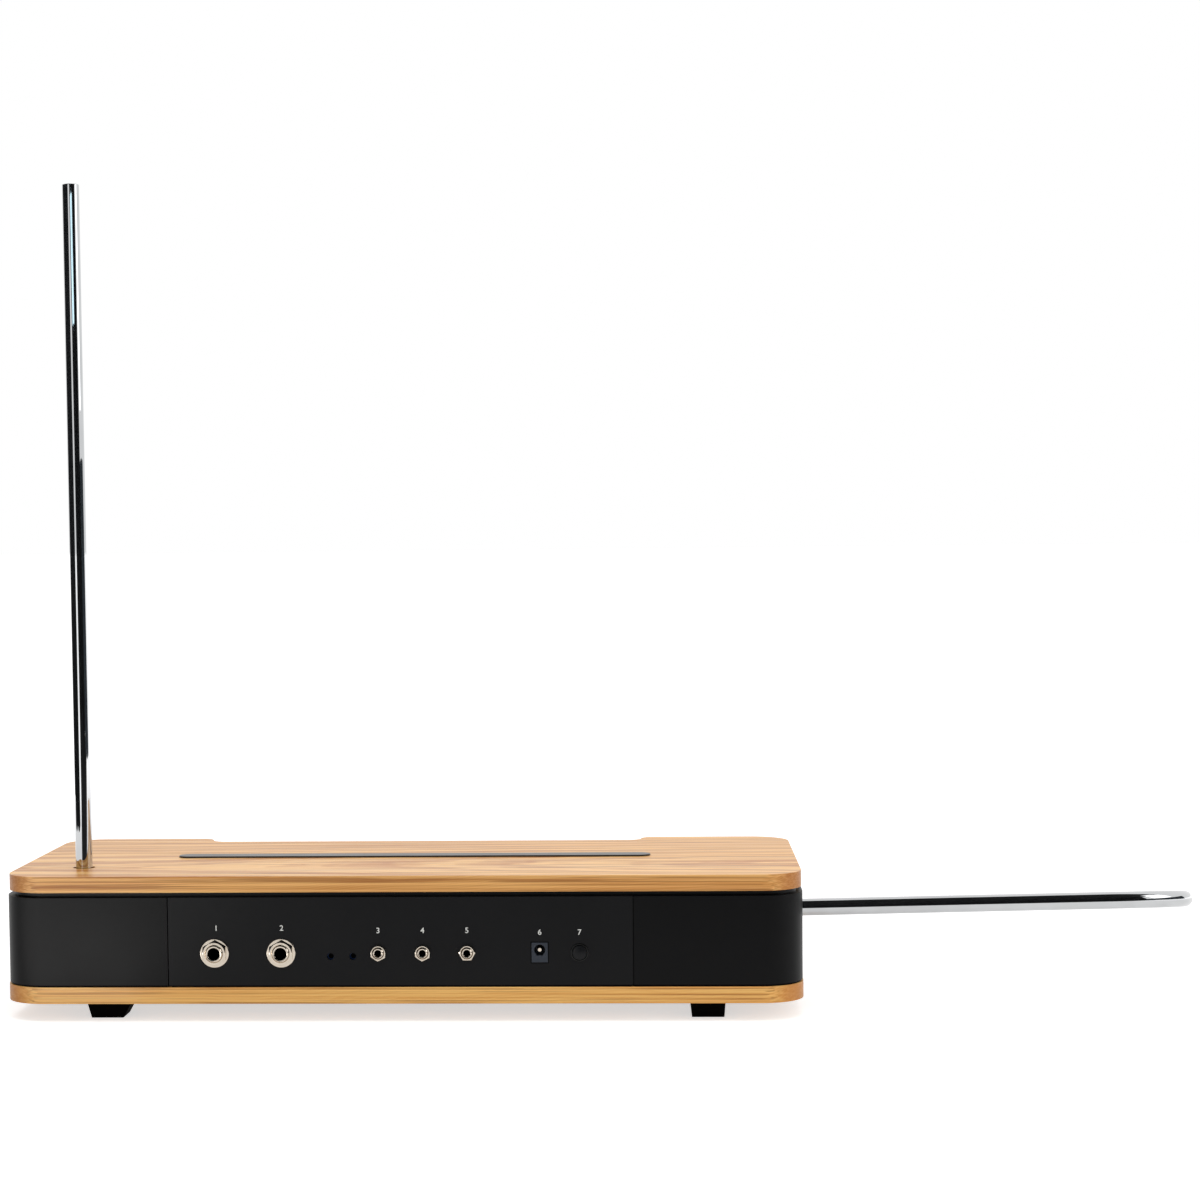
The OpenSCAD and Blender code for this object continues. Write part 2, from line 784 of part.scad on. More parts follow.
// A wedge foot with four side slopes, turned about its middle
module foot(x, y, turn) {
  s = foot_sole / 2;
  color(black) translate([x - foot_shift, y, 0]) rotate([0, 0, turn]) difference() {
    intersection() {
      rotate([90, 0, 0]) linear_extrude(4 * foot_sole, center = true)
        polygon([[-s - foot_in, 0], [-s, -foot_h], [s, -foot_h], [s + foot_out, 0]]);
      rotate([90, 0, 90]) linear_extrude(4 * foot_sole, center = true)
        polygon([[-s - foot_side_in, 0], [-s, -foot_h], [s, -foot_h], [s + foot_side_out, 0]]);
    }
    translate([0, 0, -foot_h - over]) cylinder(h = foot_h + 2 * over, d = small_screw_d + 4 * slack);
    translate([0, 0, -foot_h - over]) cylinder(h = foot_well + over, d = foot_well_d);
  }
}

module foot_rear_pitch() {
  foot(foot_x, foot_y, 0);
}

module foot_rear_volume() {
  foot(-foot_x, foot_y, 90);
}

module foot_front_volume() {
  foot(-foot_x, -foot_y, 180);
}

module foot_front_pitch() {
  foot(foot_x, -foot_y, 270);
}

module foot_screws() {
  color(steel) for (p = foot_points())
    translate([p[0], p[1], foot_well - foot_h]) {
      translate([0, 0, -small_head_h]) cylinder(h = small_head_h, d = small_head_d);
      translate([0, 0, -small_head_h / 2]) cylinder(h = foot_screw_l + small_head_h / 2, d = small_screw_d);
    }
}

function bush_screw_points() = [for (a = [90:120:330]) bush_screw_r * [cos(a), sin(a)]];

module stand_bush() {
  color(steel) difference() {
    union() {
      cylinder(h = thread_depth + bush_cap, d = bush_d);
      translate([0, 0, bottom_t]) cylinder(h = bush_flange_t, d = bush_flange_d);
    }
    translate([0, 0, -over]) cylinder(h = thread_depth + over, d = thread_d);
    for (p = bush_screw_points())
      translate([p[0], p[1], bottom_t - over])
        cylinder(h = bush_flange_t + 2 * over, d = small_screw_d + 2 * slack);
  }
}

module stand_bush_screws() {
  color(steel) for (p = bush_screw_points())
    pan_screw(p, bottom_t + bush_flange_t, bush_flange_t + screw_bite);
}

// ---- Circuit boards ----

module main_board() {
  color(pcb_green) difference() {
    translate([-pcb_w / 2, pcb_front, pcb_z]) cube([pcb_w, pcb_d, pcb_t]);
    for (p = post_points)
      translate([p[0], p[1], pcb_z - over]) cylinder(h = pcb_t + 2 * over, d = small_screw_d + 4 * slack);
  }
}

module control_board() {
  color(pcb_green) block(0, control_w, pot_back, control_back, control_z, control_z + control_h);
}

module coil_boards() {
  color(pcb_green) difference() {
    for (side = [-1, 1])
      translate([side * coil_x - coil_pcb_w / 2, coil_y - coil_pcb_d / 2, coil_z])
        cube([coil_pcb_w, coil_pcb_d, pcb_t]);
    for (p = coil_post_points)
      translate([p[0], p[1], coil_z - over]) cylinder(h = pcb_t + 2 * over, d = small_screw_d + 4 * slack);
  }
}

module standoffs() {
  color(brass) {
    for (p = post_points) standoff(p, standoff_h);
    for (p = coil_post_points) standoff(p, coil_standoff_h);
  }
}

function socket_screw_points() = [
  for (a = [60:120:300]) [pitch_x, rod_y] + socket_screw_r * [cos(a), sin(a)]
];
function bracket_screw_points() = [
  for (u = [-1, 1])
    [-bracket_x + bracket_t + bracket_foot / 2, rod_y + u * (bracket_w / 2 - bracket_screw_inset)]
];

module board_screws() {
  color(steel) {
    for (p = post_points) pan_screw(p, pcb_top, pcb_t + 4);
    for (p = coil_post_points) pan_screw(p, coil_top, pcb_t + 4);
    for (p = socket_screw_points()) pan_screw(p, seat_z, socket_floor + screw_bite);
    for (p = bracket_screw_points()) pan_screw(p, bottom_t + bracket_t, bracket_t + screw_bite);
  }
}

// Chips, cans, regulator and the two ribbon connectors
module board_parts() {
  chip = [18, 7, 3.5];
  chip_step = 34;
  can = [8, 12];
  can_step = 22;
  regulator = [10, 5, 16];
  chip_setback = 28;
  can_setback = 50;
  chip_y = pcb_front + chip_setback;
  can_y = pcb_front + can_setback;
  color([0.15, 0.15, 0.15]) {
    for (i = [0:5])
      translate([(i - 2.5) * chip_step - chip[0] / 2, chip_y, pcb_top]) cube(chip);
    for (i = [0:3])
      translate([(i - 1.5) * can_step, can_y, pcb_top]) cylinder(h = can[1], d = can[0]);
    translate([-4 * can_step, can_y, pcb_top]) cube(regulator);
    block(ribbon_x, plug_w, ribbon_end, ribbon_end + plug_l, pcb_top, ribbon_z + plug_h / 2);
    block(
      ribbon_x, plug_w, control_back, control_back + plug_l,
      ribbon_z - plug_h / 2, ribbon_z + plug_h / 2
    );
  }
}

module ribbon_cable() {
  color("gray") block(
    ribbon_x, ribbon_w, control_back + plug_l, ribbon_end,
    ribbon_z - ribbon_t / 2, ribbon_z + ribbon_t / 2
  );
}

module coil_row(x, n) {
  for (i = [0:n - 1])
    translate([x, coil_y + (i - (n - 1) / 2) * coil_step, coil_top]) {
      cylinder(h = coil_h, d = coil_d);
      cylinder(h = coil_flange_t, d = coil_flange_d);
      translate([0, 0, coil_h - coil_flange_t]) cylinder(h = coil_flange_t, d = coil_flange_d);
    }
}

module pitch_coils() {
  color("peru") coil_row(coil_x, 4);
}

module volume_coils() {
  color("peru") coil_row(-coil_x, 3);
}

// ---- Rear connectors ----

module large_jack(x) {
  color([0.2, 0.2, 0.2]) difference() {
    union() {
      block(x, jack_w, jack_end, rear_in, pcb_top, jack_top);
      bar_y(x, conn_z, rear_in - over, jack_mouth, jack_d);
    }
    bar_y(x, conn_z, jack_mouth - jack_depth, jack_mouth + over, jack_bore);
  }
}

module small_jack(x) {
  color([0.2, 0.2, 0.2]) difference() {
    union() {
      block(x, cv_w, cv_end, rear_in, pcb_top, cv_top);
      bar_y(x, conn_z, rear_in - over, cv_mouth, cv_d);
    }
    bar_y(x, conn_z, cv_mouth - cv_depth, cv_mouth + over, cv_bore);
  }
}

module audio_jack() {
  large_jack(audio_x);
}

module mute_jack() {
  large_jack(mute_x);
}

module pitch_cv_jack() {
  small_jack(cv_xs[0]);
}

module volume_cv_jack() {
  small_jack(cv_xs[1]);
}

module gate_jack() {
  small_jack(cv_xs[2]);
}

module jack_washers() {
  color(steel) for (x = [audio_x, mute_x]) difference() {
    bar_y(x, conn_z, half_d, half_d + washer_t, washer_d);
    bar_y(x, conn_z, half_d - over, half_d + washer_t + over, jack_d + 2 * slack);
  }
}

module jack_nuts() {
  nut_y = half_d + washer_t;
  color(steel) for (x = [audio_x, mute_x]) difference() {
    hex_y(x, conn_z, nut_y, nut_y + jack_nut_t, jack_nut_af);
    bar_y(x, conn_z, nut_y - over, nut_y + jack_nut_t + over, jack_d + 2 * run);
  }
}

module cv_jack_nuts() {
  color(steel) for (i = [0:2]) difference() {
    hex_y(cv_xs[i], conn_z, half_d, half_d + cv_nut_t, cv_nut_af, cv_nut_turns[i]);
    bar_y(cv_xs[i], conn_z, half_d - over, half_d + cv_nut_t + over, cv_d + 2 * run);
  }
}

module dc_inlet() {
  color([0.25, 0.27, 0.32]) difference() {
    union() {
      block(dc_x, dc_w, dc_face - dc_depth - dc_back, dc_face, conn_z - dc_h / 2, conn_z + dc_h / 2);
      block(dc_x, dc_w, dc_face - dc_depth - dc_back, rear_in, pcb_top, conn_z);
    }
    bar_y(dc_x, dc_hole_z, dc_face - dc_depth, dc_face + over, dc_hole);
    bar_y(dc_x, dc_hole_z, dc_face - dc_depth - dc_pin_root, dc_face + over, dc_pin_d + 2 * run);
  }
}

module dc_pin() {
  color(brass) bar_y(dc_x, dc_hole_z, dc_face - dc_depth - dc_pin_root, dc_face - dc_pin_sink, dc_pin_d);
}

function bezel_in_d() = button_d + 2 * button_gap;

module power_bezel() {
  color([0.15, 0.15, 0.15]) difference() {
    union() {
      bar_y(power_x, power_z, rear_in, half_d + bezel_t, bezel_in_d() + 2 * bezel_wall);
      bar_y(power_x, power_z, half_d, half_d + bezel_t, bezel_d);
    }
    bar_y(power_x, power_z, rear_in - over, half_d + bezel_t + over, bezel_in_d());
  }
}

module power_switch() {
  color([0.3, 0.3, 0.3]) difference() {
    block(power_x, switch_w, switch_front - switch_l, switch_front, pcb_top, power_z + switch_w / 2);
    bar_y(power_x, power_z, switch_front - switch_bore, switch_front + over, plunger_d + 2 * run);
  }
}

module power_button() {
  tip = half_d + button_proud;
  color(black) {
    intersection() {
      bar_y(power_x, power_z, button_root, tip + over, button_d);
      translate([power_x, tip - button_dome, power_z]) sphere(r = button_dome, $fn = 96);
    }
    bar_y(power_x, power_z, switch_front - plunger_l, button_root + over, plunger_d);
  }
}

module trimmers() {
  color("royalblue") for (x = trim_xs) difference() {
    block(x, trim_w, trim_face - trim_l, trim_face, pcb_top, trim_z + trim_w / 2);
    bar_y(x, trim_z, trim_face - trim_sink - trim_play, trim_face + over, trim_rotor_d + 2 * run);
  }
}

// A trimmer's turning screw, with a slot across its face
module trimmer_rotor(x) {
  color([0.15, 0.15, 0.15]) difference() {
    bar_y(x, trim_z, trim_face - trim_sink, trim_face, trim_rotor_d);
    block(x, trim_rotor_d + 2, trim_face - trim_slot_t, trim_face + over,
      trim_z - trim_slot_w / 2, trim_z + trim_slot_w / 2);
  }
}

module trimmer_rotor_left() {
  trimmer_rotor(trim_xs[0]);
}

module trimmer_rotor_right() {
  trimmer_rotor(trim_xs[1]);
}

// ---- Front controls ----

module pots() {
  color([0.35, 0.35, 0.35]) for (x = knob_xs) difference() {
    union() {
      block(x, pot_w, front_in, pot_back, knob_z - pot_w / 2, knob_z + pot_w / 2);
      bar_y(x, knob_z, recess_y - bushing_l, front_in + over, bushing_d);
    }
    bar_y(x, knob_z, recess_y - bushing_l - over, shaft_root + shaft_play, shaft_d + 2 * run);
  }
}

module pot_nuts() {
  color(steel) for (x = knob_xs) difference() {
    hex_y(x, knob_z, recess_y - pot_nut_t, recess_y, pot_nut_af);
    bar_y(x, knob_z, recess_y - pot_nut_t - over, recess_y + over, bushing_d + 2 * run);
  }
}

// A knob: a fluted grip on a round skirt, hollow over the nut
module knob(x) {
  color(black) difference() {
    union() {
      bar_y(x, knob_z, knob_front, knob_back, knob_d);
      bar_y(x, knob_z, knob_back - skirt_t, knob_back, knob_skirt_d);
    }
    for (i = [0:flute_n - 1])
      translate([x, knob_back - skirt_t, knob_z]) rotate([0, (i + 0.5) * 360 / flute_n, 0])
        translate([knob_d / 2 + flute_d * 0.2, 0, 0]) rotate([90, 0, 0])
          cylinder(h = knob_h, d = flute_d, $fn = 16);
    bar_y(x, knob_z, knob_back - knob_hollow, knob_back + over, knob_hollow_d);
    bar_y(x, knob_z, shaft_tip, knob_back + over, shaft_d + 2 * run);
    block(x, pointer_w, knob_front - over, knob_front + pointer_t, knob_z + knob_d * 0.15, knob_z + knob_d);
  }
}

// A shaft: it turns with its knob
module shaft(x) {
  color(steel) bar_y(x, knob_z, shaft_tip, shaft_root, shaft_d);
}

module pitch_knob() {
  knob(knob_xs[0]);
}

module volume_knob() {
  knob(knob_xs[1]);
}

module waveform_knob() {
  knob(knob_xs[2]);
}

module brightness_knob() {
  knob(knob_xs[3]);
}

module pitch_shaft() {
  shaft(knob_xs[0]);
}

module volume_shaft() {
  shaft(knob_xs[1]);
}

module waveform_shaft() {
  shaft(knob_xs[2]);
}

module brightness_shaft() {
  shaft(knob_xs[3]);
}

// ---- Antennas ----

module pitch_socket() {
  color(brass) difference() {
    union() {
      translate([pitch_x, rod_y, bottom_t]) cylinder(h = socket_top - bottom_t, d = socket_d);
      translate([pitch_x, rod_y, bottom_t]) cylinder(h = socket_floor, d = socket_flange_d);
      block(
        pitch_x, lug_t, rod_y - socket_d / 2 - lug_l, rod_y - socket_d / 2 + 1,
        lug_z - lug_w / 2, lug_z + lug_w / 2
      );
    }
    translate([pitch_x, rod_y, seat_z]) cylinder(h = cab_d, d = rod_d + 2 * run);
    for (p = socket_screw_points())
      translate([p[0], p[1], 0]) cylinder(h = z_deck, d = small_screw_d + 2 * slack);
  }
}

module pitch_antenna() {
  top = z_lid + pitch_h;
  taper = rod_d - 2 * rod_chamfer;
  color(steel) translate([pitch_x, rod_y, 0]) difference() {
    union() {
      translate([0, 0, seat_z]) cylinder(h = top - seat_z - rod_chamfer, d = rod_d);
      translate([0, 0, top - rod_chamfer]) cylinder(h = rod_chamfer, d1 = rod_d, d2 = taper);
    }
    translate([0, 0, seat_z - over]) cylinder(h = top - rod_cap - seat_z + over, r = rod_bore_r);
  }
}

// The frame of the volume loop's axis: x runs inwards from the outer face
module at_volume() {
  translate([-half_w, rod_y, loop_z]) rotate([0, loop_rise, 0]) children();
}

module volume_socket() {
  color(brass) at_volume() difference() {
    union() {
      bar_x(cradle_mouth, cradle_end, 0, 0, cradle_d);
      block(
        volume_lug_x, lug_w, -cradle_d / 2 - lug_l, -cradle_d / 2 + 1,
        -lug_t / 2, lug_t / 2
      );
    }
    bar_x(cradle_mouth - over, sleeve_end + sleeve_gap, 0, 0, sleeve_d + 2 * run);
  }
}

module volume_sleeve() {
  color("peru") at_volume() difference() {
    bar_x(sleeve_mouth, sleeve_end, 0, 0, sleeve_d);
    bar_x(sleeve_mouth - over, socket_depth, 0, 0, rod_d + 2 * run);
  }
}

module volume_bracket() {
  color(steel) difference() {
    union() {
      translate([-bracket_x, rod_y - bracket_w / 2, bottom_t])
        cube([bracket_t, bracket_w, loop_z + cradle_d / 2 - bottom_t]);
      translate([-bracket_x, rod_y - bracket_w / 2, bottom_t])
        cube([bracket_t + bracket_foot, bracket_w, bracket_t]);
    }
    at_volume() bar_x(cradle_mouth, half_w, 0, 0, cradle_d + 2 * run);
    for (p = bracket_screw_points())
      translate([p[0], p[1], 0]) cylinder(h = loop_z / 2, d = small_screw_d + 2 * slack);
  }
}

// The loop's path as a solid of one radius: mounting leg, bend and free leg
module loop_path(r, start, end) {
  bar_x(-loop_bend_x, start, 0, 0, 2 * r);
  translate([-loop_bend_x, -loop_r, 0]) rotate([0, 0, 90])
    rotate_extrude(angle = 180) translate([loop_r, 0]) circle(r);
  bar_x(-loop_bend_x, -end, -2 * loop_r, 0, 2 * r);
}

module volume_antenna() {
  color(steel) at_volume() rotate([loop_tilt, 0, 0]) difference() {
    loop_path(rod_r, socket_depth, loop_gap);
    loop_path(rod_bore_r, socket_depth + over, loop_gap + rod_cap);
  }
}

// Wires from each socket to its coils, and from the coils to the main board
module antenna_leads() {
  start = 5;
  lift = 8;
  drop_inset = 10;
  drop_y = coil_y + coil_pcb_d / 2 - drop_inset;
  lead_x = coil_x + coil_pcb_w / 2 - lead_inset;
  board_x = coil_x - coil_pcb_w / 2 + lead_inset;
  main_x = pcb_w / 2 - lead_inset;
  main_y = coil_y + coil_step;
  pitch_lug_y = rod_y - socket_d / 2 - lug_l;
  volume_lug_y = rod_y - cradle_d / 2 - lug_l;
  lug_end_x = -half_w + volume_lug_x * cos(loop_rise);
  lug_end_z = loop_z - volume_lug_x * sin(loop_rise);
  color("crimson") {
    wire([
      [pitch_x, pitch_lug_y, lug_z],
      [pitch_x, pitch_lug_y - start, lug_z],
      [lead_x, drop_y, coil_top + lift],
      [lead_x, drop_y, coil_top]
    ], [1, 0, 0]);
    wire([
      [lug_end_x, volume_lug_y, lug_end_z],
      [lug_end_x, volume_lug_y - start, lug_end_z],
      [-lead_x, drop_y, coil_top + lift],
      [-lead_x, drop_y, coil_top]
    ], [1, 0, 0]);
    for (side = [-1, 1])
      wire([
        [side * board_x, main_y, coil_top],
        [side * board_x, main_y, coil_top + lift],
        [side * main_x, main_y, pcb_top + lift],
        [side * main_x, main_y, pcb_top]
      ], [0, 1, 0]);
  }
}

top_board();
top_inlay();
deck_plate();
thread_inserts();
side_shell_pitch();
side_shell_volume();
rear_panel();
front_panel();
panel_nuts();
bottom_board();
case_screws();
foot_rear_pitch();
foot_rear_volume();
foot_front_pitch();
foot_front_volume();
foot_screws();
stand_bush();
stand_bush_screws();
main_board();
standoffs();
board_screws();
board_parts();
audio_jack();
mute_jack();
jack_washers();
jack_nuts();
pitch_cv_jack();
volume_cv_jack();
gate_jack();
cv_jack_nuts();
dc_inlet();
dc_pin();
power_switch();
power_bezel();
power_button();
trimmers();
trimmer_rotor_left();
trimmer_rotor_right();
pots();
pot_nuts();
control_board();
ribbon_cable();
pitch_knob();
volume_knob();
waveform_knob();
brightness_knob();
pitch_shaft();
volume_shaft();
waveform_shaft();
brightness_shaft();
pitch_socket();
pitch_antenna();
volume_socket();
volume_sleeve();
volume_bracket();
volume_antenna();
coil_boards();
pitch_coils();
volume_coils();
antenna_leads();
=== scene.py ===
import math
import bmesh
import bpy
from mathutils import Matrix, Vector
from mathutils.bvhtree import BVHTree


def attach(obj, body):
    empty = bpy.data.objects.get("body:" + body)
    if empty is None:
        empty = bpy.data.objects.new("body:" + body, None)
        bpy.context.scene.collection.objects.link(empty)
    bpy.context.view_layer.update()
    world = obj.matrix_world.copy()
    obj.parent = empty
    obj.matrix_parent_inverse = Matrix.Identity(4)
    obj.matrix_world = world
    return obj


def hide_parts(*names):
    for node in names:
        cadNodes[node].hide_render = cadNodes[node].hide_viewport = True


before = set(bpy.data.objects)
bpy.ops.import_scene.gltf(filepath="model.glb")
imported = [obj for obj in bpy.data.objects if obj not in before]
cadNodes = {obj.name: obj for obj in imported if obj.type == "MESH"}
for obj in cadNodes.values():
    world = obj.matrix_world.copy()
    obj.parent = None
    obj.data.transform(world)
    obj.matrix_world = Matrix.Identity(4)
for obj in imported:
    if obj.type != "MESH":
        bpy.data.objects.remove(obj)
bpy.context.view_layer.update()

# The theremin's looks. A piece's sizes are millimetres, and mm turns them into Blender's metres.
# The figure of the materials and the studio are given in metres.
mm = 0.001
scene = bpy.context.scene


def meshPiece(name, points, faces):
    mesh = bpy.data.meshes.new(name)
    mesh.from_pydata([tuple(p) for p in points], [], faces)
    mesh.update()
    piece = bpy.data.objects.new(name, mesh)
    scene.collection.objects.link(piece)
    return piece


def smooth(piece, angle=35):
    piece.data.shade_smooth()
    piece.data.set_sharp_from_angle(angle=math.radians(angle))


def settle(piece):
    # leaves the result of the modifiers as the mesh
    graph = bpy.context.evaluated_depsgraph_get()
    graph.update()
    made = bpy.data.meshes.new_from_object(piece.evaluated_get(graph))
    piece.modifiers.clear()
    piece.data = made


def faceOutward(piece):
    shape = bmesh.new()
    shape.from_mesh(piece.data)
    bmesh.ops.recalc_face_normals(shape, faces=shape.faces)
    shape.to_mesh(piece.data)
    shape.free()


def flatten(piece):
    # keeps flat and straight faces flat in the gloss, and bends only the narrow ones between them
    shade = piece.modifiers.new("flatFaces", "WEIGHTED_NORMAL")
    shade.weight = 100
    shade.keep_sharp = True
    settle(piece)


def rebate(shape, depth):
    # cuts a small step round the outside of a shell's foot, whose faces are then painted near-black as painted
    # shade, so that it stands on a dark line
    tree = BVHTree.FromBMesh(shape)
    bottom = min(v.co.z for v in shape.verts)
    rim = []
    for edge in shape.edges:
        if any(v.co.z - bottom > 0.01 * mm for v in edge.verts):
            continue
        for face in edge.link_faces:
            middle = (edge.verts[0].co + edge.verts[1].co) / 2
            outward = face.normal.x * middle.x + face.normal.y * middle.y > 0
            start = middle + face.normal * 0.3 * mm + Vector((0, 0, 1 * mm))
            if abs(face.normal.z) < 0.1 and outward and tree.ray_cast(start, face.normal)[0] is None:
                rim.append(edge)
    bmesh.ops.bevel(shape, geom=rim, offset=depth * mm, offset_type="OFFSET", segments=2, profile=0.0,
                    affect="EDGES", clamp_overlap=False)


def easedCopy(nodeName, name, width, steps=3, foot=None):
    # the CAD solid's faces in a new mesh, with its sharp edges rounded
    shape = bmesh.new()
    shape.from_mesh(cadNodes[nodeName].data)
    bmesh.ops.remove_doubles(shape, verts=shape.verts, dist=0.002 * mm)
    bmesh.ops.dissolve_limit(shape, angle_limit=math.radians(0.4), verts=shape.verts, edges=shape.edges)
    bmesh.ops.recalc_face_normals(shape, faces=shape.faces)
    if foot:
        rebate(shape, foot)
    piece = meshPiece(name, [], [])
    shape.to_mesh(piece.data)
    shape.free()
    piece.data.shade_smooth()
    edge = piece.modifiers.new("easedEdge", "BEVEL")
    edge.width = width * mm
    edge.segments = steps
    edge.limit_method = "ANGLE"
    edge.angle_limit = math.radians(32)
    flatten(piece)
    return piece


def paintShadeOnFootStep(piece, height):
    # the step's own faces get the second finish, a near-black that is painted shade in the step
    bottom = min(v.co.z for v in piece.data.vertices)
    for face in piece.data.polygons:
        if abs(face.normal.z) < 0.5 and face.center.z < bottom + (height - 0.05) * mm:
            face.material_index = 1


def turned(name, profile, place, steps=72, radiusAt=None):
    # turns a closed section, given as (radius, height) pairs, about the local Z axis
    points, faces, rings = [], [], []
    for radius, height in profile:
        if radius < 1e-6:
            rings.append([len(points)] * steps)
            points.append(place @ Vector((0, 0, height * mm)))
            continue
        rings.append(list(range(len(points), len(points) + steps)))
        for i in range(steps):
            angle = 2 * math.pi * i / steps
            r = radiusAt(radius, angle) if radiusAt else radius
            across, along = r * math.cos(angle), r * math.sin(angle)
            points.append(place @ Vector((across * mm, along * mm, height * mm)))
    for low, high in zip(rings, rings[1:] + rings[:1]):
        for i in range(steps):
            j = (i + 1) % steps
            corners = []
            for corner in (low[i], low[j], high[j], high[i]):
                if corner not in corners:
                    corners.append(corner)
            if len(corners) > 2:
                faces.append(corners)
    piece = meshPiece(name, points, faces)
    faceOutward(piece)
    smooth(piece)
    flatten(piece)
    return piece


def backward(x, y, z):
    # local Z points out of the rear face, along +Y
    return Matrix(((1, 0, 0, x * mm), (0, 0, 1, y * mm), (0, -1, 0, z * mm), (0, 0, 0, 1)))


def forward(x, y, z):
    # local Z points to the player, along -Y
    return Matrix(((1, 0, 0, x * mm), (0, 0, -1, y * mm), (0, 1, 0, z * mm), (0, 0, 0, 1)))


def upright(x, y, z):
    return Matrix.Translation((x * mm, y * mm, z * mm))


def arc(cx, cy, r, start, end, steps):
    return [(cx + r * math.cos(math.radians(start + (end - start) * i / steps)),
             cy + r * math.sin(math.radians(start + (end - start) * i / steps))) for i in range(steps + 1)]


def platePiece(name, outlines, thickness, edge, place):
    # a flat plate: the first outline is its edge and the others are holes
    curve = bpy.data.curves.new(name, "CURVE")
    curve.dimensions = "2D"
    curve.fill_mode = "BOTH"
    curve.extrude = (thickness / 2 - edge) * mm
    curve.bevel_depth = edge * mm
    curve.bevel_resolution = 3
    curve.offset = -edge * mm
    for outline in outlines:
        spline = curve.splines.new("POLY")
        spline.points.add(len(outline) - 1)
        spline.use_cyclic_u = True
        for point, (x, y) in zip(spline.points, outline):
            point.co = (x * mm, y * mm, 0, 1)
    sketch = bpy.data.objects.new(name, curve)
    scene.collection.objects.link(sketch)
    bpy.context.view_layer.update()
    mesh = bpy.data.meshes.new_from_object(sketch)
    bpy.data.objects.remove(sketch)
    bpy.data.curves.remove(curve)
    mesh.transform(place)
    piece = bpy.data.objects.new(name, mesh)
    scene.collection.objects.link(piece)
    smooth(piece)
    return piece


def dress(piece, material, body, slotName, *replaced):
    piece.data.materials.clear()
    for each in (material if isinstance(material, (list, tuple)) else [material]):
        piece.data.materials.append(each)
    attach(piece, body)
    if replaced:
        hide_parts(*replaced)
    return piece


def newMaterial(name):
    material = bpy.data.materials.new(name)
    material.use_nodes = True
    tree = material.node_tree
    tree.nodes.clear()
    shader = tree.nodes.new("ShaderNodeBsdfPrincipled")
    out = tree.nodes.new("ShaderNodeOutputMaterial")
    tree.links.new(shader.outputs[0], out.inputs["Surface"])
    return material, tree, shader


def put(tree, kind, inputs=None, **settings):
    node = tree.nodes.new(kind)
    for name, value in settings.items():
        setattr(node, name, value)
    for name, value in (inputs or {}).items():
        if isinstance(value, bpy.types.NodeSocket):
            tree.links.new(value, node.inputs[name])
        else:
            node.inputs[name].default_value = value
    return node.outputs[0]


def calc(tree, operation, a, b=0.0, clamp=False):
    return put(tree, "ShaderNodeMath", {0: a, 1: b}, operation=operation, use_clamp=clamp)


def remap(tree, value, low, high, toLow=0.0, toHigh=1.0, kind="LINEAR"):
    return put(tree, "ShaderNodeMapRange", {"Value": value, "From Min": low, "From Max": high,
                                            "To Min": toLow, "To Max": toHigh}, interpolation_type=kind)


def blendColours(tree, amount, first, second, kind="MIX"):
    node = tree.nodes.new("ShaderNodeMix")
    node.data_type = "RGBA"
    node.blend_type = kind
    for socket, value in ((node.inputs[0], amount), (node.inputs[6], first), (node.inputs[7], second)):
        if isinstance(value, bpy.types.NodeSocket):
            tree.links.new(value, socket)
        else:
            socket.default_value = (*value, 1) if isinstance(value, tuple) and len(value) == 3 else value
    return node.outputs[2]


def stretched(tree, scales, shift=(0, 0, 0)):
    here = put(tree, "ShaderNodeTexCoord")
    here = here.node.outputs["Object"]
    return put(tree, "ShaderNodeMapping", {"Vector": here, "Location": shift, "Scale": scales})


def speckle(tree, vector, scale, detail=3.0, rough=0.5):
    return put(tree, "ShaderNodeTexNoise", {"Vector": vector, "Scale": scale, "Detail": detail,
                                            "Roughness": rough})


def emboss(tree, shader, height, strength, distance):
    bump = put(tree, "ShaderNodeBump", {"Height": height, "Strength": strength, "Distance": distance * mm})
    tree.links.new(bump, shader.inputs["Normal"])


# Wood: growth rings round a heart that runs nearly along X, bands of good and lean years, open pores, darker
# end grain, and sides painted a little darker, partly their own finish and partly painted shade
woodBoards = {
    "topWood": {"early": (0.98, 0.570, 0.197), "late": (0.60, 0.243, 0.054), "pore": (0.250, 0.072, 0.012),
                "end": (0.44, 0.140, 0.022), "sideToneAndShade": 0.17, "heartY": 0.045, "heartZ": 0.010,
                "heartSlope": 0.034, "ringGap": 0.0010, "bandGap": 0.0054, "shift": (3.1, 1.7, 0.4)},
    "bottomWood": {"early": (0.98, 0.585, 0.178), "late": (0.78, 0.360, 0.085), "pore": (0.34, 0.115, 0.020),
                   "end": (0.55, 0.19, 0.032), "sideToneAndShade": 0.06, "heartY": -0.03, "heartZ": -0.085,
                   "heartSlope": 0.02, "ringGap": 0.0010, "bandGap": 0.0060, "shift": (7.4, 5.2, 2.9)},
}
# scales of the figure along X, Y and Z, and how much of each goes into the colour
woodFigure = {"wander": (1.7, 7, 7), "wanderBy": 0.030, "tremble": (20, 70, 70), "trembleBy": 0.0046,
              "pores": (3.5, 720, 800), "breaks": (16, 350, 420), "fibre": (4, 560, 1000), "cloud": (4, 22, 22),
              "lateShare": 0.22, "bandOnEdge": 0.14, "bandOnFlat": 1.05, "bandBase": 0.30, "poreShare": 0.62,
              "endShare": 0.74, "rough": (0.38, 0.52), "specular": 0.22, "coat": 0.30, "coatRough": 0.25}


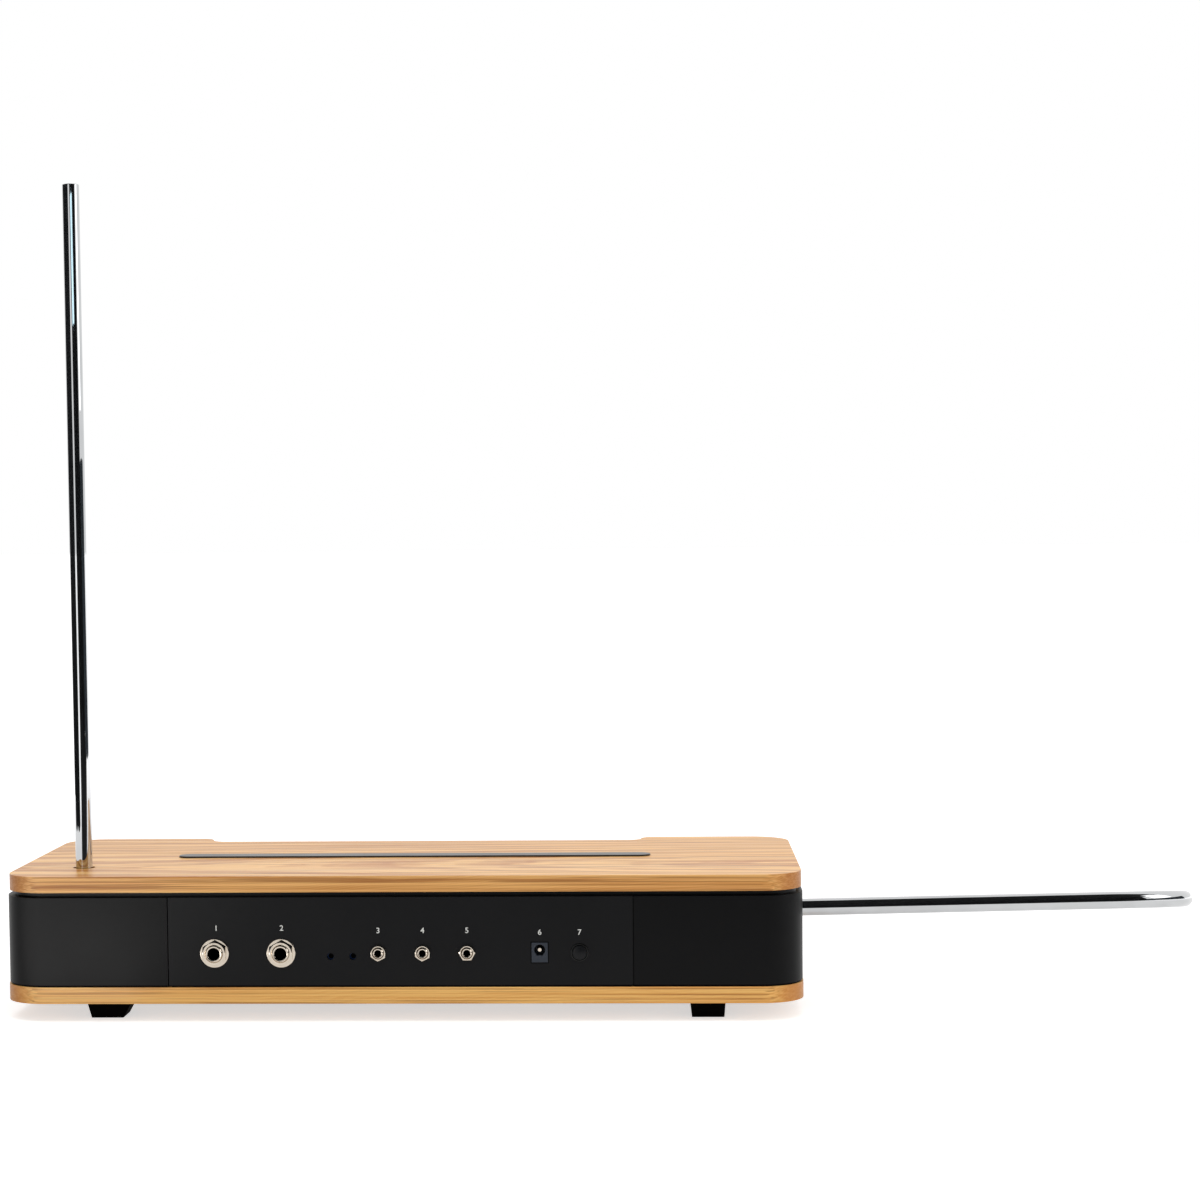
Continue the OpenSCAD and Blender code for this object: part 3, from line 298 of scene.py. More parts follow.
def woodMaterial(name):
    look, figure = woodBoards[name], woodFigure
    material, tree, shader = newMaterial(name)

    def noise(kind, detail):
        return speckle(tree, stretched(tree, figure[kind], look["shift"]), 1.0, detail, 0.5)

    # the rings wander slowly, and tremble a little
    wander = calc(tree, "MULTIPLY", calc(tree, "SUBTRACT", noise("wander", 1.0), 0.5), figure["wanderBy"])
    tremble = calc(tree, "MULTIPLY", calc(tree, "SUBTRACT", noise("tremble", 2.0), 0.5), figure["trembleBy"])
    place = put(tree, "ShaderNodeTexCoord").node.outputs["Object"]
    split = put(tree, "ShaderNodeSeparateXYZ", {"Vector": place}).node.outputs
    across = calc(tree, "SUBTRACT", split[1], look["heartY"])
    drop = calc(tree, "MULTIPLY", split[0], look["heartSlope"])
    above = calc(tree, "SUBTRACT", calc(tree, "ADD", split[2], drop), look["heartZ"])
    radius = calc(tree, "SQRT", calc(tree, "ADD", calc(tree, "MULTIPLY", across, across),
                                     calc(tree, "MULTIPLY", above, above)))
    radius = calc(tree, "ADD", calc(tree, "ADD", radius, wander), tremble)
    ring = calc(tree, "FRACT", calc(tree, "DIVIDE", radius, look["ringGap"]))
    late = calc(tree, "MULTIPLY", remap(tree, ring, 0.05, 0.70, kind="SMOOTHSTEP"),
                remap(tree, ring, 0.86, 1.0, 1.0, 0.0, "SMOOTHSTEP"))
    bands = put(tree, "ShaderNodeTexNoise", {"W": calc(tree, "DIVIDE", radius, look["bandGap"]), "Scale": 1.0,
                                             "Detail": 2.0, "Roughness": 0.6}, noise_dimensions="1D")
    bands = remap(tree, bands, 0.38, 0.62, kind="SMOOTHSTEP")
    # pores: long thin lines, broken here and there
    pores = calc(tree, "MULTIPLY", remap(tree, noise("pores", 1.0), 0.50, 0.57, kind="SMOOTHSTEP"),
                 remap(tree, noise("breaks", 1.0), 0.38, 0.55, 0.20, 1.0))
    fibre = noise("fibre", 1.0)
    cloud = noise("cloud", 2.0)
    # the bands open out on the flat faces, the edges show the fibre instead, and the ends are plain
    normal = put(tree, "ShaderNodeNewGeometry").node.outputs["Normal"]
    facing = put(tree, "ShaderNodeSeparateXYZ", {"Vector": normal}).node.outputs
    flat = remap(tree, calc(tree, "ABSOLUTE", facing[2]), 0.2, 0.8)
    end = remap(tree, calc(tree, "ABSOLUTE", facing[0]), 0.12, 0.72, kind="SMOOTHSTEP")
    pores = calc(tree, "MULTIPLY", pores, remap(tree, end, 0.0, 0.5, 1.0, 0.25))
    bandShare = remap(tree, flat, 0.0, 1.0, figure["bandOnEdge"], figure["bandOnFlat"])
    bands = calc(tree, "ADD", calc(tree, "MULTIPLY", calc(tree, "SUBTRACT", bands, 0.5), bandShare),
                 figure["bandBase"])
    shade = calc(tree, "ADD", calc(tree, "MULTIPLY", late, figure["lateShare"]), bands)
    shade = calc(tree, "ADD", shade, remap(tree, fibre, 0.41, 0.59, -0.30, 0.28))
    shade = calc(tree, "ADD", shade, remap(tree, cloud, 0.3, 0.7, -0.12, 0.10), clamp=True)
    colour = blendColours(tree, shade, look["early"], look["late"])
    colour = blendColours(tree, calc(tree, "MULTIPLY", pores, figure["poreShare"]), colour, look["pore"])
    # the board's ends drink more of the oil; the sides are painted a little towards the same dark colour,
    # partly their own finish and partly painted shade for taking less light than the top
    sideToneAndShade = remap(tree, flat, 0.0, 1.0, look["sideToneAndShade"], 0.0)
    oiledAndShaded = calc(tree, "MAXIMUM", sideToneAndShade, calc(tree, "MULTIPLY", end, figure["endShare"]))
    colour = blendColours(tree, oiledAndShaded, colour, look["end"])
    tree.links.new(colour, shader.inputs["Base Color"])
    tree.links.new(remap(tree, fibre, 0.3, 0.7, *figure["rough"]), shader.inputs["Roughness"])
    emboss(tree, shader, calc(tree, "SUBTRACT", 1.0, pores), 0.30, 0.06)
    shader.inputs["Specular IOR Level"].default_value = figure["specular"]
    shader.inputs["Coat Weight"].default_value = figure["coat"]
    shader.inputs["Coat Roughness"].default_value = figure["coatRough"]
    return material


# Paint, plastic and rubber: one colour with a fine grain in its gloss and its height
dullFinishes = {
    "blackShell": {"colour": (0.0040, 0.0040, 0.0044), "rough": (0.36, 0.44), "grain": 2600, "height": 0.010,
                   "fade": 0.16, "shine": 0.13},
    "blackPanel": {"colour": (0.0078, 0.0079, 0.0086), "rough": (0.38, 0.46), "grain": 3200, "height": 0.012,
                   "fade": 0.14, "shine": 0.13},
    "deckBlack": {"colour": (0.003, 0.003, 0.003), "rough": (0.30, 0.40), "grain": 1800, "height": 0.01,
                  "fade": 0.15, "shine": 0.2},
    "inlayBlack": {"colour": (0.021, 0.0185, 0.0155), "rough": (0.26, 0.36), "grain": 1500, "height": 0.012,
                   "fade": 0.2, "shine": 0.5},
    "rubber": {"colour": (0.0006, 0.0006, 0.0006), "rough": (0.62, 0.8), "grain": 1400, "height": 0.03,
               "fade": 0.1, "shine": 0.04},
    "knobBlack": {"colour": (0.010, 0.010, 0.011), "rough": (0.34, 0.44), "grain": 2400, "height": 0.008,
                  "fade": 0.2, "shine": 0.4},
    "buttonBlack": {"colour": (0.0062, 0.0064, 0.0075), "rough": (0.32, 0.40), "grain": 900, "height": 0.002,
                    "fade": 0.2, "shine": 0.2},
    "bezelBlack": {"colour": (0.0008, 0.0008, 0.0008), "rough": (0.10, 0.16), "grain": 1800, "height": 0.001,
                   "fade": 0.2, "shine": 0.3},
    # a near-black for black plastic parts, also used as painted shade on the body's foot step, in the bushings'
    # bores and round the power inlet
    "blackAndPaintedShade": {"colour": (0.0012, 0.0012, 0.0012), "rough": (0.5, 0.6), "grain": 1800, "height": 0.004,
                  "fade": 0.2, "shine": 0.05},
    "componentBlack": {"colour": (0.014, 0.014, 0.015), "rough": (0.42, 0.55), "grain": 1600, "height": 0.01,
                       "fade": 0.2, "shine": 0.35},
    "inletGrey": {"colour": (0.030, 0.036, 0.048), "rough": (0.40, 0.52), "grain": 1500, "height": 0.008,
                  "fade": 0.2, "shine": 0.3},
    "trimmerBlue": {"colour": (0.004, 0.020, 0.075), "rough": (0.35, 0.45), "grain": 1500, "height": 0.004,
                    "fade": 0.2, "shine": 0.35},
    "cableGrey": {"colour": (0.30, 0.30, 0.31), "rough": (0.42, 0.55), "grain": 900, "height": 0.01,
                  "fade": 0.15, "shine": 0.4},
    "wireRed": {"colour": (0.40, 0.022, 0.018), "rough": (0.35, 0.45), "grain": 900, "height": 0.004,
                "fade": 0.2, "shine": 0.4},
    "printWhite": {"colour": (0.72, 0.73, 0.70), "rough": (0.5, 0.6), "grain": 3000, "height": 0.002,
                   "fade": 0.1, "shine": 0.3},
}


def dullMaterial(name):
    look = dullFinishes[name]
    material, tree, shader = newMaterial(name)
    fine = speckle(tree, stretched(tree, (1, 1, 1)), look["grain"], 3.0, 0.55)
    broad = speckle(tree, stretched(tree, (1, 1, 1), (2.3, 0.9, 4.1)), 26.0, 3.0, 0.5)
    worn = tuple(c * (1 + look["fade"]) for c in look["colour"])
    colour = blendColours(tree, remap(tree, broad, 0.3, 0.7), look["colour"], worn)
    tree.links.new(colour, shader.inputs["Base Color"])
    gloss = calc(tree, "ADD", calc(tree, "MULTIPLY", fine, 0.6), calc(tree, "MULTIPLY", broad, 0.4))
    tree.links.new(remap(tree, gloss, 0.35, 0.65, *look["rough"]), shader.inputs["Roughness"])
    emboss(tree, shader, fine, 0.35, look["height"])
    shader.inputs["Specular IOR Level"].default_value = look["shine"]
    return material


# Metals: brushed or polished, with faint marks in the gloss
metalFinishes = {
    "chrome": {"colour": (0.61, 0.62, 0.63), "rough": (0.012, 0.030), "marks": (60, 60, 60), "height": 0.0},
    "nickel": {"colour": (0.72, 0.64, 0.54), "rough": (0.08, 0.15), "marks": (900, 900, 900), "height": 0.004},
    "steel": {"colour": (0.60, 0.61, 0.62), "rough": (0.24, 0.36), "marks": (700, 700, 700), "height": 0.004},
    "brass": {"colour": (0.78, 0.56, 0.25), "rough": (0.20, 0.32), "marks": (600, 600, 600), "height": 0.004},
    "copper": {"colour": (0.72, 0.36, 0.18), "rough": (0.22, 0.34), "marks": (300, 300, 5200), "height": 0.05},
}


def metalMaterial(name):
    look = metalFinishes[name]
    material, tree, shader = newMaterial(name)
    marks = speckle(tree, stretched(tree, look["marks"]), 1.0, 4.0, 0.6)
    cloud = speckle(tree, stretched(tree, (1, 1, 1), (5.0, 2.0, 1.0)), 45.0, 2.0, 0.5)
    dull = tuple(c * 0.93 for c in look["colour"])
    colour = blendColours(tree, remap(tree, cloud, 0.35, 0.65), look["colour"], dull)
    tree.links.new(colour, shader.inputs["Base Color"])
    tree.links.new(remap(tree, marks, 0.3, 0.7, *look["rough"]), shader.inputs["Roughness"])
    if look["height"]:
        emboss(tree, shader, marks, 0.4, look["height"])
    shader.inputs["Metallic"].default_value = 1.0
    return material


# Circuit board: green lacquer over fine copper tracks
boardLook = {"lacquer": (0.010, 0.085, 0.030), "track": (0.022, 0.150, 0.055), "pitch": 0.0026}


def boardMaterial():
    material, tree, shader = newMaterial("circuitBoard")
    place = put(tree, "ShaderNodeTexCoord").node.outputs["Object"]
    tracks = put(tree, "ShaderNodeTexBrick", {
        "Vector": place, "Color1": (1, 1, 1, 1), "Color2": (0.7, 0.7, 0.7, 1), "Mortar": (0, 0, 0, 1),
        "Scale": 1.0, "Mortar Size": 0.0005, "Mortar Smooth": 0.1,
        "Brick Width": boardLook["pitch"] * 4.5, "Row Height": boardLook["pitch"]})
    cloud = speckle(tree, place, 300.0, 3.0, 0.5)
    colour = blendColours(tree, tracks, boardLook["lacquer"], boardLook["track"])
    tree.links.new(colour, shader.inputs["Base Color"])
    tree.links.new(remap(tree, cloud, 0.3, 0.7, 0.25, 0.38), shader.inputs["Roughness"])
    emboss(tree, shader, tracks, 0.3, 0.03)
    return material


finish = {name: woodMaterial(name) for name in woodBoards}
finish.update({name: dullMaterial(name) for name in dullFinishes})
finish.update({name: metalMaterial(name) for name in metalFinishes})
finish["circuitBoard"] = boardMaterial()
print("materials made:", len(finish))


keptNodes = {
    "deckBlack": ["deck_plate"],
    "nickel": ["dc_pin"],
    "brass": ["thread_inserts", "standoffs", "pitch_socket", "volume_socket", "volume_sleeve"],
    "blackAndPaintedShade": ["trimmer_rotor_left", "trimmer_rotor_right"],
    "steel": ["panel_nuts", "case_screws", "foot_screws", "stand_bush", "stand_bush_screws", "board_screws",
              "volume_bracket", "pot_nuts", "pitch_shaft", "volume_shaft", "waveform_shaft",
              "brightness_shaft"],
    "circuitBoard": ["main_board", "control_board", "coil_boards"],
    "componentBlack": ["board_parts", "power_switch", "pots"],
    "trimmerBlue": ["trimmers"],
    "cableGrey": ["ribbon_cable"],
    "copper": ["pitch_coils", "volume_coils"],
    "wireRed": ["antenna_leads"],
}
for finishName, names in keptNodes.items():
    for nodeName in names:
        solid = cadNodes[nodeName]
        if not solid.material_slots:
            solid.data.materials.append(None)
        for place in solid.material_slots:
            place.material = finish[finishName]
print("kept solids painted")


# how far each piece's edges are rounded, and the height of the step at the foot of the body, which is painted
# near-black as painted shade
boardEdges = {"topBoard": 1.0, "bottomBoard": 1.0, "shell": 0.4, "panel": 0.3, "step": 1.0, "inlay": 0.3,
              "foot": 0.5}
dress(easedCopy("top_board", "topBoard", boardEdges["topBoard"], 4), finish["topWood"], "cabinet", "ash",
      "top_board")
dress(easedCopy("bottom_board", "bottomBoard", boardEdges["bottomBoard"], 4), finish["bottomWood"], "cabinet",
      "ash", "bottom_board")
bodyParts = {
    "side_shell_pitch": ("endShellPitch", "shell", "blackShell", "black_shell"),
    "side_shell_volume": ("endShellVolume", "shell", "blackShell", "black_shell"),
    "rear_panel": ("rearPanel", "panel", "blackPanel", "black_panel"),
    "front_panel": ("frontPanel", "panel", "blackPanel", "black_panel"),
}
for nodeName, (pieceName, edgeName, finishName, slotName) in bodyParts.items():
    piece = easedCopy(nodeName, pieceName, boardEdges[edgeName], 3, boardEdges["step"])
    dress(piece, [finish[finishName], finish["blackAndPaintedShade"]], "cabinet", slotName, nodeName)
    # the step's faces are painted near-black as painted shade
    paintShadeOnFootStep(piece, boardEdges["step"])
dress(easedCopy("top_inlay", "topInlay", boardEdges["inlay"]), finish["inlayBlack"], "cabinet", "inlay",
      "top_inlay")
for side in ("rear", "front"):
    for end in ("pitch", "volume"):
        nodeName = f"foot_{side}_{end}"
        foot = easedCopy(nodeName, "foot" + side.capitalize() + end.capitalize(), boardEdges["foot"])
        dress(foot, finish["rubber"], "cabinet", "rubber", nodeName)
print("boards, shells, panels, inlay and feet made")


antennaTube = {"radius": 4.7625, "bore": 3.8625, "cap": 3.0, "ease": 0.2, "endRound": 0.5, "sides": 96}
pitchRod = {"x": 184.7, "y": 49.6, "bottom": 13.2, "top": 457.6}


def makePitchRod():
    r, e = antennaTube["radius"], antennaTube["endRound"]
    low, high, ease = pitchRod["bottom"], pitchRod["top"], antennaTube["ease"]
    section = [(antennaTube["bore"], low), (r - ease, low), (r, low + ease)]
    section += arc(r - e, high - e, e, 0, 90, 5)
    section += [(0, high), (0, high - antennaTube["cap"]), (antennaTube["bore"], high - antennaTube["cap"])]
    return turned("pitchRod", section, upright(pitchRod["x"], pitchRod["y"], 0), antennaTube["sides"])


volumeLoop = {"start": 46.0, "bendX": -172.9375, "bend": 50.0, "gap": 8.0, "tilt": 7.8, "rise": 1.1,
              "endX": -223.0, "y": 49.6, "z": 46.8, "bendSteps": 96}


def makeVolumeLoop():
    # a path in the loop's own plane, from the sleeve round the bend to the free end
    look, r = volumeLoop, antennaTube["radius"]
    e, ease, sides = antennaTube["endRound"], antennaTube["ease"], antennaTube["sides"]
    path = [(look["start"], 0.0, 1.0, 0.0, r - ease), (look["start"] - ease, 0.0, 1.0, 0.0, r)]
    path += [(look["bendX"] * i / 8, 0.0, 1.0, 0.0, r) for i in range(8)]
    for i in range(look["bendSteps"] + 1):
        a = math.radians(90 + 180 * i / look["bendSteps"])
        path.append((look["bendX"] + look["bend"] * math.cos(a), -look["bend"] + look["bend"] * math.sin(a),
                     math.sin(a), -math.cos(a), r))
    y = -2 * look["bend"]
    reach = -look["gap"] - e - look["bendX"]
    path += [(look["bendX"] + reach * share, y, -1.0, 0.0, r) for share in (0.125, 0.25, 0.5, 0.75, 0.99, 1.0)]
    for a in (22.5, 45, 67.5, 90):
        a = math.radians(a)
        path.append((-look["gap"] - e + e * math.sin(a), y, -1.0, 0.0, r - e + e * math.cos(a)))
    points, faces = [], []
    for x, y, alongX, alongY, radius in path:
        for k in range(sides):
            a = 2 * math.pi * k / sides
            side, lift = math.cos(a) * radius, math.sin(a) * radius
            points.append(Vector(((x - alongY * side) * mm, (y + alongX * side) * mm, lift * mm)))
    for i in range(len(path) - 1):
        for k in range(sides):
            m = (k + 1) % sides
            faces.append([i * sides + k, i * sides + m, (i + 1) * sides + m, (i + 1) * sides + k])
    faces.append(list(range(sides)))
    faces.append(list(range((len(path) - 1) * sides, len(path) * sides)))
    turn = (Matrix.Translation((look["endX"] * mm, look["y"] * mm, look["z"] * mm))
            @ Matrix.Rotation(math.radians(look["rise"]), 4, "Y")
            @ Matrix.Rotation(math.radians(look["tilt"]), 4, "X"))
    piece = meshPiece("volumeLoop", [turn @ p for p in points], faces)
    faceOutward(piece)
    smooth(piece, 50)
    return piece


dress(makePitchRod(), finish["chrome"], "pitch_antenna", "chrome", "pitch_antenna")
dress(makeVolumeLoop(), finish["chrome"], "volume_antenna", "chrome", "volume_antenna")
print("antennas made")


# distances along Y of the rear face and of the panel's inner side, and the height of the connectors
rearFace = 93.6
connectorZ = 28.3
panelBack = 91.1
largeJack = {"places": {"audio": 103.0, "mute": 65.9}, "bore": 3.3, "thread": 4.7, "mouth": 97.6, "depth": 30.0,
             "wall": 2.5, "width": 16.0, "foot": 20.8, "top": 37.3, "pitch": 0.8, "washer": 8.0, "washerT": 0.8,
             "nutAcross": 12.7, "nutT": 2.2}
smallJack = {"places": {"pitchCv": 11.9, "volumeCv": -12.7, "gate": -37.3}, "bore": 1.8, "thread": 3.0,
             "mouth": 96.6, "depth": 14.0, "wall": 2.5, "width": 9.0, "foot": 20.8, "top": 33.3, "pitch": 0.5,
             "nutAcross": 8.0, "nutT": 2.0, "turns": {"pitchCv": -4.0, "volumeCv": -5.0, "gate": 30.0}}
# the bushing's mouth: its rounding, the flat lip inside it, the first crest, the groove of the thread; shadeRim
# is how far past the bore the painted shade reaches
bushingMouth = {"round": 0.45, "flare": 0.35, "lip": 0.1, "crest": 0.18, "crestDrop": 0.2, "groove": 0.22,
                "tail": 0.4, "clearance": 0.02, "shadeRim": 0.30, "bodyEdge": 0.3}


def makeJack(name, x, look):
    # a threaded bushing with a rounded mouth, in front of a moulded body
    form = bushingMouth
    mouth, r, bore = look["mouth"], look["thread"], look["bore"]
    back = mouth - look["depth"]
    section = [(bore, back - mouth), (bore, -form["round"])]
    for a in (30, 60, 90):
        a = math.radians(a)
        section.append((bore + form["lip"] + form["flare"] * (1 - math.cos(a)),
                        -form["round"] + form["round"] * math.sin(a)))
    section += [(r - form["round"], 0.0), (r - form["crest"], -form["crestDrop"])]
    y = -form["round"]
    while y > panelBack - mouth + look["pitch"]:
        section += [(r, y), (r - form["groove"], y - look["pitch"] / 2)]
        y -= look["pitch"]
    tail = panelBack - mouth - form["tail"]
    section += [(r, panelBack - mouth), (r, tail), (bore + form["clearance"], tail)]
    bushing = turned(name + "Bushing", section, backward(x, mouth, connectorZ), 64)
    bushing.data.materials.append(finish["nickel"])
    bushing.data.materials.append(finish["blackAndPaintedShade"])
    # the bore is painted near-black from its mouth on, as painted shade in the hole
    axis = Vector((x * mm, 0, connectorZ * mm))
    for face in bushing.data.polygons:
        out = face.center - axis
        if math.hypot(out.x, out.z) < (bore + form["shadeRim"]) * mm:
            face.material_index = 1
    w, low, high = look["width"] / 2, look["foot"] - connectorZ, look["top"] - connectorZ
    outline = [(-w, low), (w, low), (w, high), (-w, high)]
    hole = arc(0, 0, bore, 0, 360, 48)[:-1]
    length = panelBack - back
    body = platePiece(name + "Body", [outline, hole], length, form["bodyEdge"],
                      backward(x, panelBack - length / 2, connectorZ))
    lid = platePiece(name + "Lid", [outline], look["wall"], form["bodyEdge"],
                     backward(x, back - look["wall"] / 2, connectorZ))
    return bushing, body, lid


# a nut's crown is a share of its half width; its corners fall off at the slope, in degrees
nutForm = {"sides": 96, "crown": 0.965, "slope": 30, "boreEase": 0.35, "boreDrop": 0.3, "clearance": 0.05}


def hexNut(name, x, y, look, turn=0.0):
    # a nut with turned corners: the top ring is round and the flats meet it in arcs
    form = nutForm
    flat, thick, bore = look["nutAcross"] / 2, look["nutT"], look["thread"] + form["clearance"]

    def hexRadius(angle):
        a = (angle - math.radians(30 + turn)) % math.radians(60) - math.radians(30)
        return flat / math.cos(a)
    points, faces = [], []
    place = backward(x, y, connectorZ)
    crown = flat * form["crown"]
    slope = math.tan(math.radians(form["slope"]))
    sides = form["sides"]
    for k in range(sides):
        a = 2 * math.pi * k / sides
        reach = hexRadius(a)
        level = [(bore, 0.0), (reach, 0.0), (reach, thick - (reach - crown) * slope), (crown, thick),
                 (bore + form["boreEase"], thick), (bore, thick - form["boreDrop"])]
        for radius, height in level:
            points.append(place @ Vector((radius * math.cos(a) * mm, radius * math.sin(a) * mm, height * mm)))
    count = len(level)
    for k in range(sides):
        m = (k + 1) % sides
        for i in range(count):
            j = (i + 1) % count
            faces.append([k * count + i, k * count + j, m * count + j, m * count + i])
    piece = meshPiece(name, points, faces)
    faceOutward(piece)
    smooth(piece, 25)
    flatten(piece)
    return piece


washerForm = {"clearance": 0.1, "edge": 0.25}


def makeWasher(name, x):
    inner, outer, t = largeJack["thread"] + washerForm["clearance"], largeJack["washer"], largeJack["washerT"]
    e = washerForm["edge"]
    section = [(inner, 0.0), (outer, 0.0)] + arc(outer - e, t - e, e, 0, 90, 4)
    section += arc(inner + e, t - e, e, 90, 180, 3)
    return turned(name, section, backward(x, rearFace, connectorZ), 96)


jackNodes = {"audio": "audio_jack", "mute": "mute_jack", "pitchCv": "pitch_cv_jack",
             "volumeCv": "volume_cv_jack", "gate": "gate_jack"}
for look in (largeJack, smallJack):
    for name, x in look["places"].items():
        bushing, body, lid = makeJack(name + "Jack", x, look)
        dress(bushing, [finish["nickel"], finish["blackAndPaintedShade"]], "cabinet", "nickel", jackNodes[name])
        dress(body, finish["blackAndPaintedShade"], "cabinet", "component_black", jackNodes[name])
        dress(lid, finish["blackAndPaintedShade"], "cabinet", "component_black", jackNodes[name])
for name, x in largeJack["places"].items():
    dress(makeWasher(name + "Washer", x), finish["nickel"], "cabinet", "nickel", "jack_washers")
    dress(hexNut(name + "Nut", x, rearFace + largeJack["washerT"], largeJack), finish["nickel"], "cabinet",
          "nickel", "jack_nuts")
for name, x in smallJack["places"].items():
    dress(hexNut(name + "Nut", x, rearFace, smallJack, smallJack["turns"][name]), finish["nickel"], "cabinet",
          "nickel", "cv_jack_nuts")
print("jacks, nuts and washers made")


# the hole's notch spans these angles on both sides of its top; the collar is a section of out and along
powerInlet = {"x": -77.4, "face": 93.9, "width": 9.0, "height": 11.0, "hole": 3.0, "holeZ": 29.7, "depth": 9.5,
              "back": 5.0, "edge": 0.25, "notch": 0.45, "notchFrom": 14, "notchTo": 38,
              "collar": [(1.05, 0.0), (1.75, 0.0), (1.75, 1.2), (1.6, 1.4), (1.05, 1.4)],
              "gap": 0.5, "gapThick": 0.12, "gapEdge": 0.03}


def makeInlet():
    look = powerInlet
    w, h = look["width"] / 2, look["height"] / 2
    rise = look["holeZ"] - connectorZ
    hole = []
    sides = 72
    for i in range(sides):
        a = 2 * math.pi * i / sides
        r = look["hole"]
        aside = abs((math.degrees(a) - 90 + 180) % 360 - 180)
        if look["notchFrom"] < aside < look["notchTo"]:
            r += look["notch"]
        hole.append((r * math.cos(a), -rise + r * math.sin(a)))
    outline = [(-w, -h), (w, -h), (w, h), (-w, h)]
    front = platePiece("inletFront", [outline, hole], look["depth"], look["edge"],
                       backward(look["x"], look["face"] - look["depth"] / 2, connectorZ))
    back = platePiece("inletBack", [outline], look["back"], look["edge"],
                      backward(look["x"], look["face"] - look["depth"] - look["back"] / 2, connectorZ))
    collar = turned("inletCollar", look["collar"],
                    backward(look["x"], look["face"] - look["depth"], look["holeZ"]), 48)
    return front, back, collar


def makeInletShadeLine():
    # a thin near-black frame on the panel round the inlet: painted shade standing in for the dark line between
    # the inlet's face and the panel
    look = powerInlet
    w, h, gap = look["width"] / 2, look["height"] / 2, look["gap"]
    outline = [(-w - gap, -h - gap), (w + gap, -h - gap), (w + gap, h + gap), (-w - gap, h + gap)]
    inner = [(-w, -h), (w, -h), (w, h), (-w, h)]
    return platePiece("inletShadeLine", [outline, inner], look["gapThick"], look["gapEdge"],
                      backward(look["x"], rearFace, connectorZ))


inletFront, inletBack, inletCollar = makeInlet()
# painted shade round the power inlet
dress(makeInletShadeLine(), finish["blackAndPaintedShade"], "cabinet", "black_panel")
dress(inletFront, finish["inletGrey"], "cabinet", "component_black", "dc_inlet")
dress(inletBack, finish["inletGrey"], "cabinet", "component_black", "dc_inlet")
dress(inletCollar, finish["blackAndPaintedShade"], "cabinet", "brass")

powerButton = {"x": -99.4, "radius": 4.0, "tip": 96.0, "dome": 12.0, "root": 88.6, "plunger": 2.0,
               "plungerEnd": 82.1, "edge": 0.4}


def makeButton():
    look = powerButton
    r, e, dome = look["radius"], look["edge"], look["dome"]
    rimY = look["tip"] - dome + math.sqrt(dome * dome - (r - e) ** 2)
    section = [(0, look["plungerEnd"]), (look["plunger"], look["plungerEnd"]), (look["plunger"], look["root"]),
               (r, look["root"])]
    section += arc(r - e, rimY - e, e, 0, 75, 4)
    for i in range(7):
        radius = (r - e) * (1 - i / 6)
        section.append((radius, look["tip"] - dome + math.sqrt(dome * dome - radius ** 2)))
    return turned("powerCap", section, backward(look["x"], 0, connectorZ), 72)


powerBezel = {"outer": 5.0, "inner": 4.15, "wall": 0.5, "thick": 0.6, "edge": 0.2}


def makeBezel():
    look = powerBezel
    e = look["edge"]
    section = [(look["inner"], panelBack), (look["inner"] + look["wall"], panelBack),
               (look["inner"] + look["wall"], rearFace), (look["outer"], rearFace)]
    section += arc(look["outer"] - e, rearFace + look["thick"] - e, e, 0, 90, 3)
    section += arc(look["inner"] + e, rearFace + look["thick"] - e, e, 90, 180, 3)
    return turned("powerRing", section, backward(powerButton["x"], 0, connectorZ), 72)


dress(makeButton(), finish["buttonBlack"], "power_button", "knob_black", "power_button")
dress(makeBezel(), finish["bezelBlack"], "cabinet", "black_shell", "power_bezel")
print("power inlet and button made")


# a digit is 0.7 of the height that a font is set to
printed = {"height": 3.0, "share": 0.7, "bold": 0.05, "lift": 0.03, "thick": 0.02,
           "marks": [("1", 102.0, 42.1), ("2", 65.5, 42.1), ("3", 11.9, 40.6), ("4", -12.7, 40.6),
                     ("5", -37.3, 40.6), ("6", -77.5, 39.5), ("7", -99.4, 39.4)]}


def makeNumber(mark, x, z):
    curve = bpy.data.curves.new("number" + mark, "FONT")
    curve.body = mark
    curve.align_x = "CENTER"
    curve.align_y = "CENTER"
    curve.size = printed["height"] / printed["share"] * mm
    curve.extrude = printed["thick"] / 2 * mm
    curve.offset = printed["bold"] * mm
    sketch = bpy.data.objects.new("sketch", curve)
    scene.collection.objects.link(sketch)
    bpy.context.view_layer.update()
    mesh = bpy.data.meshes.new_from_object(sketch)
    bpy.data.objects.remove(sketch)
    y = rearFace + printed["lift"]
    mesh.transform(Matrix(((-1, 0, 0, x * mm), (0, 0, 1, y * mm), (0, 1, 0, z * mm), (0, 0, 0, 1))))
    piece = bpy.data.objects.new("number" + mark, mesh)
    scene.collection.objects.link(piece)
    return piece


for mark, x, z in printed["marks"]:
    dress(makeNumber(mark, x, z), finish["printWhite"], "cabinet", "black_panel")
print("numbers printed")


# the neck goes out and up from the skirt's top to the side, and the cap in and down from the knob's top
knob = {"radius": 12.0, "height": 14.0, "skirt": 14.0, "skirtT": 2.5, "skirtEdge": 0.5, "skirtEase": 0.2,
        "neck": [(0.6, 0.0), (0.15, 0.25), (0.0, 0.7)], "cap": [(0.6, 0.4), (0.9, 0.15), (1.6, 0.05)],
        "crown": 0.4, "back": -77.8, "z": 34.25, "flutes": 24, "fluteDepth": 0.55, "fluteReach": 0.3,
        "fluteSteps": 12, "hollow": 4.2, "hollowR": 7.35, "shaft": 3.05, "roof": 2.5, "edge": 1.0,
        "places": {"pitch": 84.0, "volume": 28.0, "waveform": -28.0, "brightness": -84.0}}


